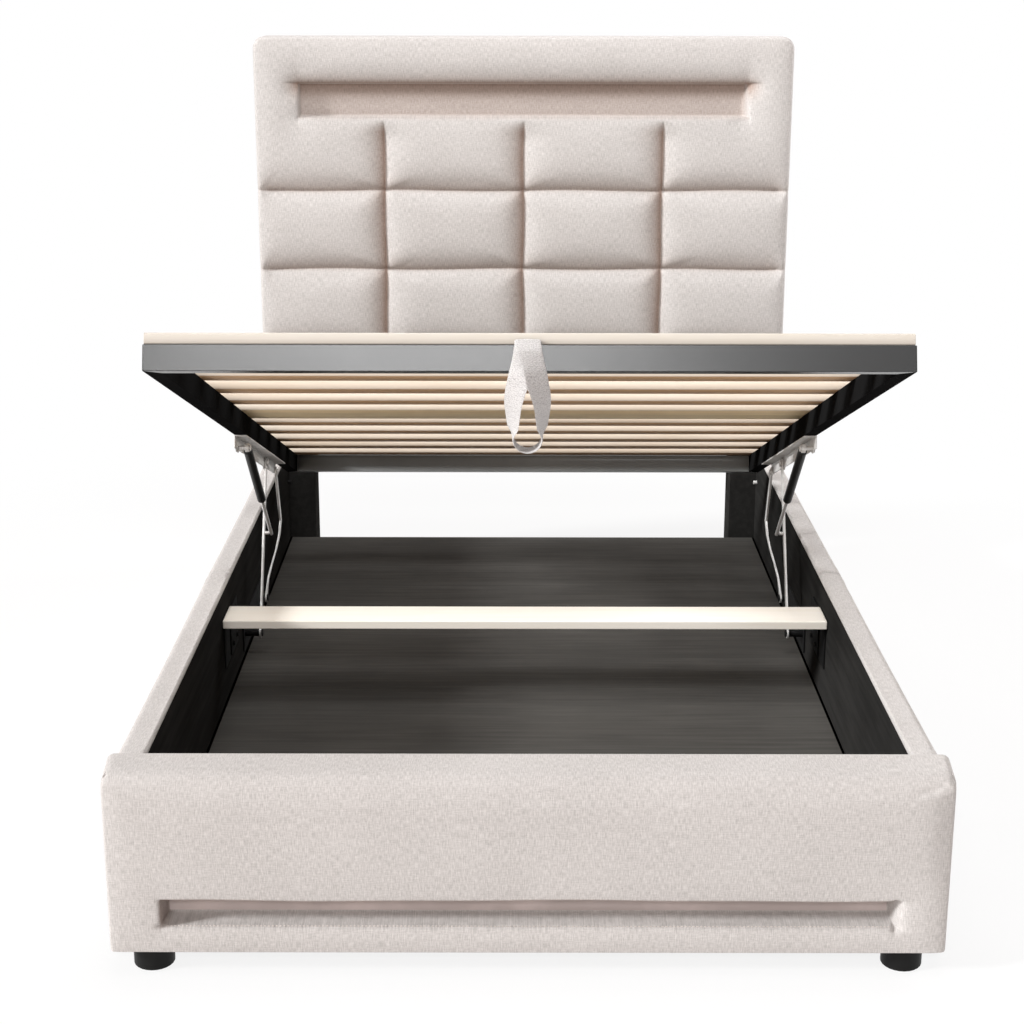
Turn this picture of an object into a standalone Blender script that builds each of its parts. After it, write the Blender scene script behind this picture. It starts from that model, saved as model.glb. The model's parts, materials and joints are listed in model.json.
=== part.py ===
"""Upholstered storage bed with a slatted platform that lifts on arms and gas springs.

Metres, +Z up. +Y runs from the footboard to the headboard and +X to the right of somebody
looking from the foot. Lengths along Y are first laid out from the footboard's inner face and
then shifted so that the origin is at the bottom centre of the whole bed.
"""
import bpy
import bmesh
import math
from mathutils import Matrix, Vector

for old in list(bpy.data.objects):
    bpy.data.objects.remove(old, do_unlink=True)

# ---------------------------------------------------------------- driving dimensions
GAP = 0.0003                     # between pieces that touch
RUN_GAP = 0.0005                 # between pieces that move past each other

INNER_WIDTH = 1.2086             # storage box, between the linings
HALF_INNER = INNER_WIDTH / 2
INNER_LENGTH = 1.9975            # storage box, footboard to headboard legs
BASE_BOTTOM = 0.040              # underside of the upholstered base
RAIL_TOP = 0.3183                # top of the side rails

# side rails
RAIL_THICK = 0.0493              # over the lining and the padding
RAIL_OUTER = HALF_INNER + RAIL_THICK
RAIL_ROUND = 0.012
RAIL_CROWN = 0.0020
LINING_THICK = 0.0030
LINING_DROP = 0.012              # top of the lining below the top of the rail
SPLICE_LENGTH = 0.090
SPLICE_HEIGHT = 0.100
SPLICE_THICK = 0.0028
SPLICE_LIFT = 0.110              # above the underside of the base

# footboard
FOOTBOARD_OVERHANG = 0.0024      # beyond each rail
FOOTBOARD_RISE = 0.0167          # above the rails
FOOTBOARD_WIDTH = 2 * (RAIL_OUTER + FOOTBOARD_OVERHANG)
FOOTBOARD_TOP = RAIL_TOP + FOOTBOARD_RISE
FOOTBOARD_DEPTH = 0.0930
FOOTBOARD_CORNER = 0.020         # rounding of the outline's upper corners
FOOTBOARD_EDGE = 0.016           # rounding of the front edge
FOOT_BOARD_THICK = 0.018         # timber panel let into the back
FOOT_BOARD_BORDER = 0.030        # padding around that panel
FOOT_NICHE_MARGIN = 0.0885       # from each end of the footboard
FOOT_NICHE_LIFT = 0.0447         # above the underside
FOOT_NICHE_HEIGHT = 0.0443
FOOT_NICHE_DEPTH = 0.0500
FOOT_NICHE_HALF = FOOTBOARD_WIDTH / 2 - FOOT_NICHE_MARGIN
FOOT_NICHE_LOW = BASE_BOTTOM + FOOT_NICHE_LIFT
FOOT_NICHE_HIGH = FOOT_NICHE_LOW + FOOT_NICHE_HEIGHT
FOOT_STRIP_THICK = 0.0030
FOOT_CROWN = 0.0030

# headboard
HEAD_OVERHANG = 0.0069           # beyond each rail
HEAD_LAP = 0.0183                # padding reaches this far below the rails' top
HEAD_HEIGHT = 1.0502
HEAD_CLEAR = 0.0010              # behind the ends of the rails
HEAD_PAD_THICK = 0.0690
HEAD_WIDTH = 2 * (RAIL_OUTER + HEAD_OVERHANG)
HEAD_BOTTOM = RAIL_TOP - HEAD_LAP
HEAD_TOP = HEAD_BOTTOM + HEAD_HEIGHT
HEAD_FRONT = INNER_LENGTH + HEAD_CLEAR
HEAD_BACK = HEAD_FRONT + HEAD_PAD_THICK
HEAD_CORNER = 0.030
HEAD_EDGE = 0.022
HEAD_GROOVE_DEPTH = 0.018
HEAD_GROOVE_REACH = 0.036        # how far a groove draws the padding in
HEAD_COLUMN_SHARE = 0.521        # of the half width, for the outer upright grooves
HEAD_COLUMN = HEAD_WIDTH / 2 * HEAD_COLUMN_SHARE
HEAD_ROW_COUNT = 4               # level grooves
HEAD_FIRST_ROW = 0.3669          # uppermost level groove below the top edge
HEAD_LAST_ROW = 0.0953           # lowest level groove above the bottom edge
HEAD_ROW_PITCH = (HEAD_HEIGHT - HEAD_FIRST_ROW - HEAD_LAST_ROW) / (HEAD_ROW_COUNT - 1)
HEAD_NICHE_MARGIN = 0.1058       # from each side of the headboard
HEAD_NICHE_DROP = 0.1110         # below the top edge
HEAD_NICHE_HEIGHT = 0.0773
HEAD_NICHE_DEPTH = 0.0350
HEAD_NICHE_HALF = HEAD_WIDTH / 2 - HEAD_NICHE_MARGIN
HEAD_NICHE_HIGH = HEAD_TOP - HEAD_NICHE_DROP
HEAD_NICHE_LOW = HEAD_NICHE_HIGH - HEAD_NICHE_HEIGHT
HEAD_GROOVE_START = 0.0050       # upright grooves start this far below the niche
HEAD_GROOVE_TOP = HEAD_NICHE_LOW - HEAD_GROOVE_START
HEAD_PANEL_THICK = 0.018
HEAD_PANEL_INSET = 0.008
LEG_INSET = 0.0663               # inner side of a leg, inside the lining
LEG_WIDTH = 0.0900
LEG_INNER = HALF_INNER - LEG_INSET
LEG_OUTER = LEG_INNER + LEG_WIDTH
LEG_TAB_THICK = 0.0120
LEG_TAB_RISE = 0.320             # tab above the bottom of the padding
BOLT_RADIUS = 0.0050
BOLT_LENGTH = 0.0090
BOLT_DROP = 0.0803               # below the rails' top
BOLT_INSET = 0.025               # in front of the leg

# feet
FOOT_RADIUS = 0.0320
FOOT_INSET = 0.0674              # front feet inside the footboard's ends
FOOT_X = FOOTBOARD_WIDTH / 2 - FOOT_INSET
FOOT_FRONT_Y = -FOOTBOARD_DEPTH / 2
FOOT_MID_X = HALF_INNER + RAIL_THICK / 3
FOOT_SEGMENTS = 24

# lifting platform, laid out flat: s runs from its front edge to its back, h up from its tubes
TUBE_HEIGHT = 0.0400
TUBE_WIDTH = 0.0250
TUBE_WALL = 0.0020
SLAT_THICK = 0.0175
SLAT_WIDTH = 0.0600
SLAT_INSET = 0.0015
SLAT_BEVEL = 0.0020
WIDE_SLAT = 0.1460
SLAT_FRONT_MARGIN = 0.001       # first slat behind the front edge
SLAT_REAR_MARGIN = 0.021        # last slat in front of the rear edge
SLAT_PLACE_SHARES = (0.0000, 0.0883, 0.2049, 0.3047, 0.4017, 0.5153, 0.6157, 0.7115, 0.8107, 0.9042, 1.0000)
WIDE_SLAT_INDEX = 5
DECK_DROP = 0.0014               # lowered slats below the rails' top
PLATFORM_SIDE_GAP = 0.0303       # between the frame and the lining
PLATFORM_REAR_GAP = 0.0625       # lowered frame in front of the headboard legs
PLATFORM_HALF = HALF_INNER - PLATFORM_SIDE_GAP
PLATFORM_TILT = math.radians(19.577)
RAISED_SETBACK = 0.0281          # lower front edge, raised, behind the footboard
RAISED_HEIGHT = 0.9342
LOWERED_SETBACK = 0.1200         # lower front edge, lowered
LOWERED_HEIGHT = RAIL_TOP - DECK_DROP - SLAT_THICK - GAP - TUBE_HEIGHT
PLATFORM_LENGTH = INNER_LENGTH - LOWERED_SETBACK - PLATFORM_REAR_GAP

# loose cross plank that the platform comes down on
PLANK_START = 0.8360
PLANK_WIDTH = 0.0917
PLANK_THICK = 0.0172
PLANK_END_GAP = 0.0018
PLANK_TOP = LOWERED_HEIGHT - RUN_GAP
PLANK_LENGTH = INNER_WIDTH - 2 * PLANK_END_GAP
SHELF_REACH = 0.040
SHELF_LENGTH = 0.060
SHELF_THICK = 0.0027
SHELF_HEIGHT = 0.090
JOINT_OFFSET = 0.0495            # rail joint behind the plank
RAIL_JOINT = PLANK_START + PLANK_WIDTH + JOINT_OFFSET

# floor of the storage box
FLOOR_LIFT = 0.0422              # its top above the underside of the base
FLOOR_TOP = BASE_BOTTOM + FLOOR_LIFT
FLOOR_THICK = 0.006
FLOOR_SEAM = PLANK_START + PLANK_WIDTH
BEAM_WIDTH = 0.060
BEAM_LIFT = 0.005
BEAM_BOTTOM = BASE_BOTTOM + BEAM_LIFT
BEAM_OFFSET = 0.42               # beam centres from each end of the box

# lift mechanism, left and right alike
IRON_THICK = 0.0025
IRON_DROP = 0.026
TAB_DROP = 0.031
TAB_HALF = 0.020
FRONT_PIVOT_REACH = 1.369        # front arm's pivot on the steel angle, behind the front edge
PIVOT_SPAN = 0.168               # rear arm's pivot behind it
SPRING_LEAD = 0.409              # gas spring's pivot in front of it
REAR_PIVOT_REACH = FRONT_PIVOT_REACH + PIVOT_SPAN
SPRING_REACH = FRONT_PIVOT_REACH - SPRING_LEAD
IRON_FRONT_MARGIN = 0.039        # angle in front of the gas spring's pivot
IRON_REAR_MARGIN = 0.018         # angle behind the rear arm's pivot
IRON_START = SPRING_REACH - IRON_FRONT_MARGIN
IRON_END = REAR_PIVOT_REACH + IRON_REAR_MARGIN
PIVOT_DROP = 0.015
REAR_PIVOT_DROP = 0.0215         # lower, so that its open pivot stays clear of the angle
FRONT_BASE_HEIGHT = 0.130        # height of the front arm's fixed pivot
REAR_BASE_HEIGHT = 0.120         # height of the rear arm's fixed pivot
ARM_THICK = 0.0040
ARM_HALF = 0.0085
ARM_EYE = 0.0110
ARM_LUG_SHARE = 0.58             # where the gas spring meets the front arm
PIN_RADIUS = 0.0050
HEAD_RADIUS = 0.0080
HEAD_THICK = 0.0030
REAR_KNEE_SHARE = 0.610          # bend of the rear arm, along the line between its pivots
REAR_KNEE_OUT = 0.0900           # and behind that line
PLATE_THICK = 0.0030
PIVOT_STAND = 0.0085             # rear arm's lower end off the plate
REAR_BASE_X = HALF_INNER - GAP - PLATE_THICK - PIVOT_STAND - ARM_THICK
PLATE_MARGIN = 0.024
PLATE_BELOW = 0.026              # under the rear pivot
PLATE_ABOVE = 0.035              # over the front pivot
PLATE_LOW = REAR_BASE_HEIGHT - PLATE_BELOW
PLATE_HIGH = FRONT_BASE_HEIGHT + PLATE_ABOVE
SPRING_DROP = 0.022
SPRING_INSET = 0.0210            # inside the platform's edge
SPRING_X = PLATFORM_HALF - SPRING_INSET
CYLINDER_RADIUS = 0.0090
CYLINDER_BORE = 0.0046
CYLINDER_SHARE = 0.585           # of the extended gas spring
ROD_RADIUS = 0.0040
ROD_INSIDE = 0.0260
SPRING_EYE = 0.0090
SPRING_EYE_HALF = 0.0040
ROUND_SEGMENTS = 16
SMALL_SEGMENTS = 12

# pull strap on the front tube
STRAP_WIDTH = 0.0400
STRAP_THICK = 0.0024
STRAP_TOP = 0.0480               # above the tube's underside, on the slat's front edge
STRAP_DROP = 0.1180              # lowest point below the tube's underside
STRAP_BULGE = 0.0235             # leg centre lines stand this far out
STRAP_STATIONS = 14
STRAP_TWIST = math.radians(68)
STRAP_FLAT_SHARE = 0.42          # the upper share of each leg that lies flat
STRAP_PARTED_SHARE = 0.10        # where the two legs start to part

# ---------------------------------------------------------------- derived positions
SLAT_FIRST = SLAT_FRONT_MARGIN + SLAT_WIDTH / 2
SLAT_RUN = PLATFORM_LENGTH - SLAT_REAR_MARGIN - SLAT_WIDTH / 2 - SLAT_FIRST
SLAT_PLACES = [SLAT_FIRST + SLAT_RUN * share for share in SLAT_PLACE_SHARES]
LEG_BACK = HEAD_BACK + HEAD_PANEL_THICK + GAP + LEG_TAB_THICK + GAP
OVERALL_DEPTH = FOOTBOARD_DEPTH + LEG_BACK
DATUM_Y = FOOTBOARD_DEPTH - OVERALL_DEPTH / 2
COS_TILT = math.cos(PLATFORM_TILT)
SIN_TILT = math.sin(PLATFORM_TILT)
HEAD_ROWS = [HEAD_TOP - HEAD_FIRST_ROW - HEAD_ROW_PITCH * i for i in range(HEAD_ROW_COUNT)]
LEFT, RIGHT = -1, 1
SIDES = (("left", LEFT), ("right", RIGHT))


def raised(s, h):
    """Place of a platform point in the raised pose, as (y, z)."""
    return (RAISED_SETBACK + s * COS_TILT + h * SIN_TILT,
            RAISED_HEIGHT - s * SIN_TILT + h * COS_TILT)


def lowered(s, h):
    """Place of a platform point in the lowered pose, as (y, z)."""
    return LOWERED_SETBACK + s, LOWERED_HEIGHT + h


def fixed_pivot(s, h, z):
    """Fixed pivot at height z that is equally far from a platform point raised and lowered."""
    up, down = raised(s, h), lowered(s, h)
    mid = ((up[0] + down[0]) / 2, (up[1] + down[1]) / 2)
    return mid[0] - (z - mid[1]) * (down[1] - up[1]) / (down[0] - up[0]), z


FRONT_TOP = raised(FRONT_PIVOT_REACH, -PIVOT_DROP)
REAR_TOP = raised(REAR_PIVOT_REACH, -REAR_PIVOT_DROP)
FRONT_BASE = fixed_pivot(FRONT_PIVOT_REACH, -PIVOT_DROP, FRONT_BASE_HEIGHT)
REAR_BASE = fixed_pivot(REAR_PIVOT_REACH, -REAR_PIVOT_DROP, REAR_BASE_HEIGHT)
REAR_RUN = (REAR_TOP[0] - REAR_BASE[0], REAR_TOP[1] - REAR_BASE[1])
REAR_SPAN = math.hypot(*REAR_RUN)
REAR_KNEE = (REAR_BASE[0] + REAR_RUN[0] * REAR_KNEE_SHARE + REAR_RUN[1] / REAR_SPAN * REAR_KNEE_OUT,
             REAR_BASE[1] + REAR_RUN[1] * REAR_KNEE_SHARE - REAR_RUN[0] / REAR_SPAN * REAR_KNEE_OUT)
SPRING_TOP = raised(SPRING_REACH, -SPRING_DROP)
SPRING_END = (FRONT_BASE[0] + (FRONT_TOP[0] - FRONT_BASE[0]) * ARM_LUG_SHARE,
              FRONT_BASE[1] + (FRONT_TOP[1] - FRONT_BASE[1]) * ARM_LUG_SHARE)
IRON_INNER = PLATFORM_HALF - IRON_THICK          # inner face of the angle's upright flange
CYLINDER_LENGTH = math.dist(SPRING_TOP, SPRING_END) * CYLINDER_SHARE
ARM_OUT = IRON_INNER - RUN_GAP                    # arms lie against that face
ARM_IN = ARM_OUT - ARM_THICK


# ---------------------------------------------------------------- building helpers
def material(name, colour, rough, metal=0.0):
    """A plain surface of its own for one piece."""
    mat = bpy.data.materials.new(name)
    mat.use_nodes = True
    shader = mat.node_tree.nodes["Principled BSDF"]
    shader.inputs["Base Color"].default_value = (*colour, 1)
    shader.inputs["Roughness"].default_value = rough
    shader.inputs["Metallic"].default_value = metal
    mat.diffuse_color = (*colour, 1)
    return mat


FABRIC = ((0.72, 0.67, 0.64), 0.95, 0)
TIMBER = ((0.80, 0.68, 0.52), 0.6, 0)
BLACK_BOARD = ((0.03, 0.03, 0.03), 0.5, 0)
BLACK_STEEL = ((0.04, 0.04, 0.042), 0.4, 0)
ZINC = ((0.70, 0.70, 0.68), 0.35, 1)
PLASTIC = ((0.02, 0.02, 0.02), 0.45, 0)
STRIP = ((0.62, 0.55, 0.53), 0.4, 0)


def add(name, bm, look, origin=(0, 0, 0), smooth=False):
    """Turns a finished mesh into a named object whose origin is at the given point."""
    bmesh.ops.remove_doubles(bm, verts=bm.verts, dist=GAP / 30)
    bmesh.ops.recalc_face_normals(bm, faces=bm.faces)
    if bm.calc_volume(signed=True) < 0:
        bmesh.ops.reverse_faces(bm, faces=bm.faces)
    centre = Vector(origin)
    for vert in bm.verts:
        vert.co -= centre
    for face in bm.faces:
        face.smooth = smooth
    mesh = bpy.data.meshes.new(name)
    bm.to_mesh(mesh)
    bm.free()
    obj = bpy.data.objects.new(name, mesh)
    obj.location = centre + Vector((0, DATUM_Y, 0))
    obj.data.materials.append(material(name, *look))
    bpy.context.collection.objects.link(obj)
    return obj


def box(bm, low, high):
    """A box between two corners."""
    size = [b - a for a, b in zip(low, high)]
    middle = [(a + b) / 2 for a, b in zip(low, high)]
    matrix = Matrix.Translation(middle) @ Matrix.Diagonal((*size, 1))
    return bmesh.ops.create_cube(bm, size=1, matrix=matrix)["verts"]


def prism(bm, outline, low, high, axis="x", holes=()):
    """An outline extruded along one axis; the outline gives the other two coordinates in order."""
    def point(pair, level):
        u, v = pair
        return {"x": (level, u, v), "y": (u, level, v), "z": (u, v, level)}[axis]

    if not holes:
        front = [bm.verts.new(point(p, low)) for p in outline]
        back = [bm.verts.new(point(p, high)) for p in outline]
        bm.faces.new(front)
        bm.faces.new(back)
        for i in range(len(outline)):
            j = (i + 1) % len(outline)
            bm.faces.new((front[i], front[j], back[j], back[i]))
        return
    rings = []
    for loop in (outline, *holes):
        front = [bm.verts.new(point(p, low)) for p in loop]
        back = [bm.verts.new(point(p, high)) for p in loop]
        for i in range(len(loop)):
            j = (i + 1) % len(loop)
            bm.faces.new((front[i], front[j], back[j], back[i]))
        rings.append((front, back))
    bm.edges.index_update()
    for which in (0, 1):
        edges = []
        for ring in rings:
            loop = ring[which]
            for i in range(len(loop)):
                edges.append(bm.edges.get((loop[i], loop[(i + 1) % len(loop)])))
        bmesh.ops.triangle_fill(bm, edges=edges, use_beauty=True)


def circle(centre, radius, count, start=0.0):
    """Points round a circle."""
    return [(centre[0] + radius * math.cos(start + math.tau * i / count),
             centre[1] + radius * math.sin(start + math.tau * i / count)) for i in range(count)]


def bar_outline(points, half, eye, count):
    """Outline of a flat bar that follows the points, with a round eye at each end."""
    def unit(a, b):
        length = math.hypot(b[0] - a[0], b[1] - a[1])
        return (b[0] - a[0]) / length, (b[1] - a[1]) / length

    first, last = unit(points[0], points[1]), unit(points[-2], points[-1])
    spread = math.asin(half / eye)
    out = []
    angle = math.atan2(first[1], first[0])
    for i in range(count + 1):
        turn = angle + spread + (math.tau - 2 * spread) * i / count
        out.append((points[0][0] + eye * math.cos(turn), points[0][1] + eye * math.sin(turn)))
    below = []
    above = []
    for before, here, after in zip(points, points[1:], points[2:]):
        a, b = unit(before, here), unit(here, after)
        nx, ny = -(a[1] + b[1]), a[0] + b[0]
        length = math.hypot(nx, ny)
        scale = half / (length / 2)
        nx, ny = nx / length * scale, ny / length * scale
        above.append((here[0] + nx, here[1] + ny))
        below.append((here[0] - nx, here[1] - ny))
    out.extend(below)
    angle = math.atan2(-last[1], -last[0])
    for i in range(count + 1):
        turn = angle + spread + (math.tau - 2 * spread) * i / count
        out.append((points[-1][0] + eye * math.cos(turn), points[-1][1] + eye * math.sin(turn)))
    out.extend(reversed(above))
    return out


def lathe(bm, profile, count, matrix):
    """Turns a closed profile of (radius, height) pairs round Z, then places it."""
    rings = []
    for radius, height in profile:
        if radius == 0:
            rings.append([bm.verts.new(matrix @ Vector((0, 0, height)))])
        else:
            rings.append([bm.verts.new(matrix @ Vector((x, y, height)))
                          for x, y in circle((0, 0), radius, count)])
    for one, two in zip(rings, rings[1:]):
        for i in range(count):
            j = (i + 1) % count
            corners = [one[i % len(one)], one[j % len(one)], two[j % len(two)], two[i % len(two)]]
            face = list(dict.fromkeys(corners))
            if len(face) > 2:
                bm.faces.new(face)


def along_x(x, y, z, sign):
    """Matrix that lays a turned piece's axis along X, away from the middle for sign +1."""
    return Matrix.Translation((x, y, z)) @ Matrix.Rotation(sign * math.pi / 2, 4, "Y")


def clear_side(sign, value):
    """An X position on one side of the bed."""
    return sign * value


def span(sign, inner, outer):
    """Low and high X of a piece that lies between two distances from the middle."""
    return min(sign * inner, sign * outer), max(sign * inner, sign * outer)


def smoothstep(t):
    """Eases from 0 to 1."""
    t = min(max(t, 0), 1)
    return t * t * (3 - 2 * t)


def edge_fall(distance, radius):
    """How far a rounded edge falls back at a distance inside the outline."""
    if distance >= radius:
        return 0
    return radius - math.sqrt(max(radius * radius - (radius - distance) ** 2, 0))


def round_corner(x, z, half, top, radius):
    """Moves a point of a square-cornered outline onto one with round upper corners."""
    dx = abs(x) - (half - radius)
    dz = z - (top - radius)
    if dx <= 0 or dz <= 0:
        return x, z
    pull = max(dx, dz) / math.hypot(dx, dz)
    return math.copysign(half - radius + dx * pull, x), top - radius + dz * pull


def padded_panel(bm, columns, rows, half, top, corner, depth_at, back, pocket=None):
    """A padded panel: a front grid shaped by depth_at and a flat back, with an optional pocket.

    pocket is (half width, low z, high z, depth): a recess in the back that holds a panel.
    """
    front = [[None] * len(rows) for _ in columns]
    for i, x in enumerate(columns):
        for j, z in enumerate(rows):
            px, pz = round_corner(x, z, half, top, corner)
            front[i][j] = bm.verts.new((px, depth_at(px, pz, x, z), pz))
    for i in range(len(columns) - 1):
        for j in range(len(rows) - 1):
            bm.faces.new((front[i][j], front[i + 1][j], front[i + 1][j + 1], front[i][j + 1]))
    ring = [front[i][0] for i in range(len(columns))]
    ring += [front[-1][j] for j in range(1, len(rows))]
    ring += [front[i][-1] for i in range(len(columns) - 2, -1, -1)]
    ring += [front[0][j] for j in range(len(rows) - 2, 0, -1)]
    rear = [bm.verts.new((v.co.x, back, v.co.z)) for v in ring]
    for i in range(len(ring)):
        j = (i + 1) % len(ring)
        bm.faces.new((ring[i], ring[j], rear[j], rear[i]))
    if pocket is None:
        bm.faces.new(rear)
        return
    wide, low, high, deep = pocket
    corners = ((-wide, low), (wide, low), (wide, high), (-wide, high))
    mouth = [bm.verts.new((x, back, z)) for x, z in corners]
    floor = [bm.verts.new((x, back - deep, z)) for x, z in corners]
    for i in range(len(corners)):
        j = (i + 1) % len(corners)
        bm.faces.new((mouth[i], mouth[j], floor[j], floor[i]))
    bm.faces.new(floor)
    edges = []
    for loop in (rear, mouth):
        for i in range(len(loop)):
            found = bm.edges.get((loop[i], loop[(i + 1) % len(loop)]))
            edges.append(found or bm.edges.new((loop[i], loop[(i + 1) % len(loop)])))
    bmesh.ops.triangle_fill(bm, edges=edges, use_beauty=True)


def spread(stops):
    """Sorted grid lines without near doubles."""
    out = []
    for value in sorted(stops):
        if not out or value - out[-1] > GAP:
            out.append(value)
    return out


def mirrored(values):
    """Values and their mirror images."""
    return [sign * v for v in values for sign in SIDES_SIGN]


SIDES_SIGN = (LEFT, RIGHT)

# ---------------------------------------------------------------- headboard
groove_offsets_shares = (0, 0.18, 0.5, 1)


def groove_pull(distance):
    """How far the padding is drawn in at a distance from a groove's line."""
    share = min(distance / HEAD_GROOVE_REACH, 1)
    return HEAD_GROOVE_DEPTH * (1 - share) ** 2


def head_depth(px, pz, x, z):
    """Front surface of the headboard's padding."""
    half = HEAD_WIDTH / 2
    inside = min(half - abs(x), HEAD_TOP - z)
    bottom = z - HEAD_BOTTOM
    fall = edge_fall(min(inside, bottom), HEAD_EDGE)
    niche_edge = min(HEAD_NICHE_HALF - abs(x), HEAD_NICHE_HIGH - z, z - HEAD_NICHE_LOW)
    wall = HEAD_NICHE_DEPTH / 8
    sink = HEAD_NICHE_DEPTH * smoothstep(niche_edge / wall) if niche_edge > 0 else 0
    pull = 0
    if z < HEAD_GROOVE_TOP + HEAD_GROOVE_REACH and abs(x) < HEAD_COLUMN + HEAD_GROOVE_REACH:
        above = max(z - HEAD_GROOVE_TOP, 0)
        for line in (-HEAD_COLUMN, 0, HEAD_COLUMN):
            pull = max(pull, groove_pull(math.hypot(x - line, above)))
    for line in HEAD_ROWS:
        pull = max(pull, groove_pull(abs(z - line)))
    return HEAD_FRONT + fall + max(sink, pull)


head_half = HEAD_WIDTH / 2
columns = [head_half, head_half - HEAD_EDGE * 0.3, head_half - HEAD_EDGE,
           HEAD_NICHE_HALF, HEAD_NICHE_HALF - HEAD_NICHE_DEPTH / 8]
for share in groove_offsets_shares:
    columns.append(HEAD_COLUMN + HEAD_GROOVE_REACH * share)
    columns.append(HEAD_COLUMN - HEAD_GROOVE_REACH * share)
    columns.append(HEAD_GROOVE_REACH * share)
columns = spread(mirrored(columns))
rows = [HEAD_TOP, HEAD_TOP - HEAD_EDGE * 0.3, HEAD_TOP - HEAD_EDGE, HEAD_BOTTOM,
        HEAD_BOTTOM + HEAD_EDGE * 0.3, HEAD_BOTTOM + HEAD_EDGE,
        HEAD_NICHE_HIGH, HEAD_NICHE_HIGH - HEAD_NICHE_DEPTH / 8,
        HEAD_NICHE_LOW, HEAD_NICHE_LOW + HEAD_NICHE_DEPTH / 8]
for line in HEAD_ROWS:
    for share in groove_offsets_shares:
        rows.append(line + HEAD_GROOVE_REACH * share)
        rows.append(line - HEAD_GROOVE_REACH * share)
rows = spread(rows)
panel_half = head_half - HEAD_PANEL_INSET
bm = bmesh.new()
padded_panel(bm, columns, rows, head_half, HEAD_TOP, HEAD_CORNER, head_depth, HEAD_BACK)
add("headboard_pad", bm, FABRIC)

bm = bmesh.new()
panel_front = HEAD_BACK + GAP
box(bm, (-panel_half, panel_front, HEAD_BOTTOM + HEAD_PANEL_INSET),
    (panel_half, panel_front + HEAD_PANEL_THICK, HEAD_TOP - HEAD_PANEL_INSET))
add("headboard_panel", bm, BLACK_BOARD)

leg_top = HEAD_BOTTOM - GAP
tab_front = panel_front + HEAD_PANEL_THICK + GAP
for side, sign in SIDES:
    bm = bmesh.new()
    outline = ((INNER_LENGTH, BASE_BOTTOM + GAP), (tab_front + LEG_TAB_THICK, BASE_BOTTOM + GAP),
               (tab_front + LEG_TAB_THICK, HEAD_BOTTOM + LEG_TAB_RISE), (tab_front, HEAD_BOTTOM + LEG_TAB_RISE),
               (tab_front, leg_top), (INNER_LENGTH, leg_top))
    prism(bm, outline, *span(sign, LEG_INNER, LEG_OUTER))
    add(f"headboard_leg_{side}", bm, BLACK_BOARD)
    bm = bmesh.new()
    bolt_back = HALF_INNER - GAP
    lathe(bm, ((0, -BOLT_LENGTH), (BOLT_RADIUS, -BOLT_LENGTH), (BOLT_RADIUS, 0), (0, 0)),
          SMALL_SEGMENTS, along_x(clear_side(sign, bolt_back), INNER_LENGTH - BOLT_INSET, RAIL_TOP - BOLT_DROP, sign))
    add(f"corner_bolt_{side}", bm, ZINC)

# ---------------------------------------------------------------- footboard
foot_half = FOOTBOARD_WIDTH / 2
foot_front = -FOOTBOARD_DEPTH


def foot_depth(px, pz, x, z):
    """Front surface of the footboard's padding."""
    inside = min(foot_half - abs(x), FOOTBOARD_TOP - z)
    bottom = z - BASE_BOTTOM
    fall = max(edge_fall(inside, FOOTBOARD_EDGE), edge_fall(bottom, FOOTBOARD_EDGE / 2))
    niche_edge = min(FOOT_NICHE_HALF - abs(x), FOOT_NICHE_HIGH - z, z - FOOT_NICHE_LOW)
    wall = FOOT_NICHE_DEPTH / 16
    sink = FOOT_NICHE_DEPTH * smoothstep(niche_edge / wall) if niche_edge > 0 else 0
    crown = FOOT_CROWN * min(1, inside / (FOOTBOARD_TOP - FOOT_NICHE_HIGH) * 2)
    if z < FOOT_NICHE_HIGH:
        crown = 0
    return foot_front + FOOT_CROWN + fall + sink - max(crown, 0)


wall = FOOT_NICHE_DEPTH / 16
columns = spread(mirrored([
    0, foot_half * 0.3, foot_half * 0.6, FOOT_NICHE_HALF, FOOT_NICHE_HALF - wall, foot_half,
    foot_half - FOOTBOARD_EDGE * 0.12, foot_half - FOOTBOARD_EDGE * 0.45, foot_half - FOOTBOARD_EDGE]))
rows = spread([
    BASE_BOTTOM, BASE_BOTTOM + FOOTBOARD_EDGE / 4, BASE_BOTTOM + FOOTBOARD_EDGE / 2,
    FOOT_NICHE_LOW, FOOT_NICHE_LOW + wall, FOOT_NICHE_HIGH - wall, FOOT_NICHE_HIGH,
    (FOOT_NICHE_HIGH + FOOTBOARD_TOP) / 2, FOOTBOARD_TOP - FOOTBOARD_EDGE,
    FOOTBOARD_TOP - FOOTBOARD_EDGE * 0.45, FOOTBOARD_TOP - FOOTBOARD_EDGE * 0.12, FOOTBOARD_TOP])
board_half = foot_half - FOOT_BOARD_BORDER
board_low = BASE_BOTTOM + FOOT_BOARD_BORDER / 3
board_high = FOOTBOARD_TOP - FOOT_BOARD_BORDER
bm = bmesh.new()
padded_panel(bm, columns, rows, foot_half, FOOTBOARD_TOP, FOOTBOARD_CORNER, foot_depth, -GAP,
             (board_half + GAP, board_low - GAP, board_high + GAP, FOOT_BOARD_THICK + GAP))
add("footboard_pad", bm, FABRIC)

bm = bmesh.new()
box(bm, (-board_half, -GAP - FOOT_BOARD_THICK, board_low), (board_half, -GAP, board_high))
add("footboard_panel", bm, BLACK_BOARD)

bm = bmesh.new()
strip_back = foot_front + FOOT_CROWN + FOOT_NICHE_DEPTH - GAP
box(bm, (-FOOT_NICHE_HALF + wall + GAP, strip_back - FOOT_STRIP_THICK, FOOT_NICHE_LOW + wall + GAP),
    (FOOT_NICHE_HALF - wall - GAP, strip_back, FOOT_NICHE_HIGH - wall - GAP))
add("footboard_strip", bm, STRIP)

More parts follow.
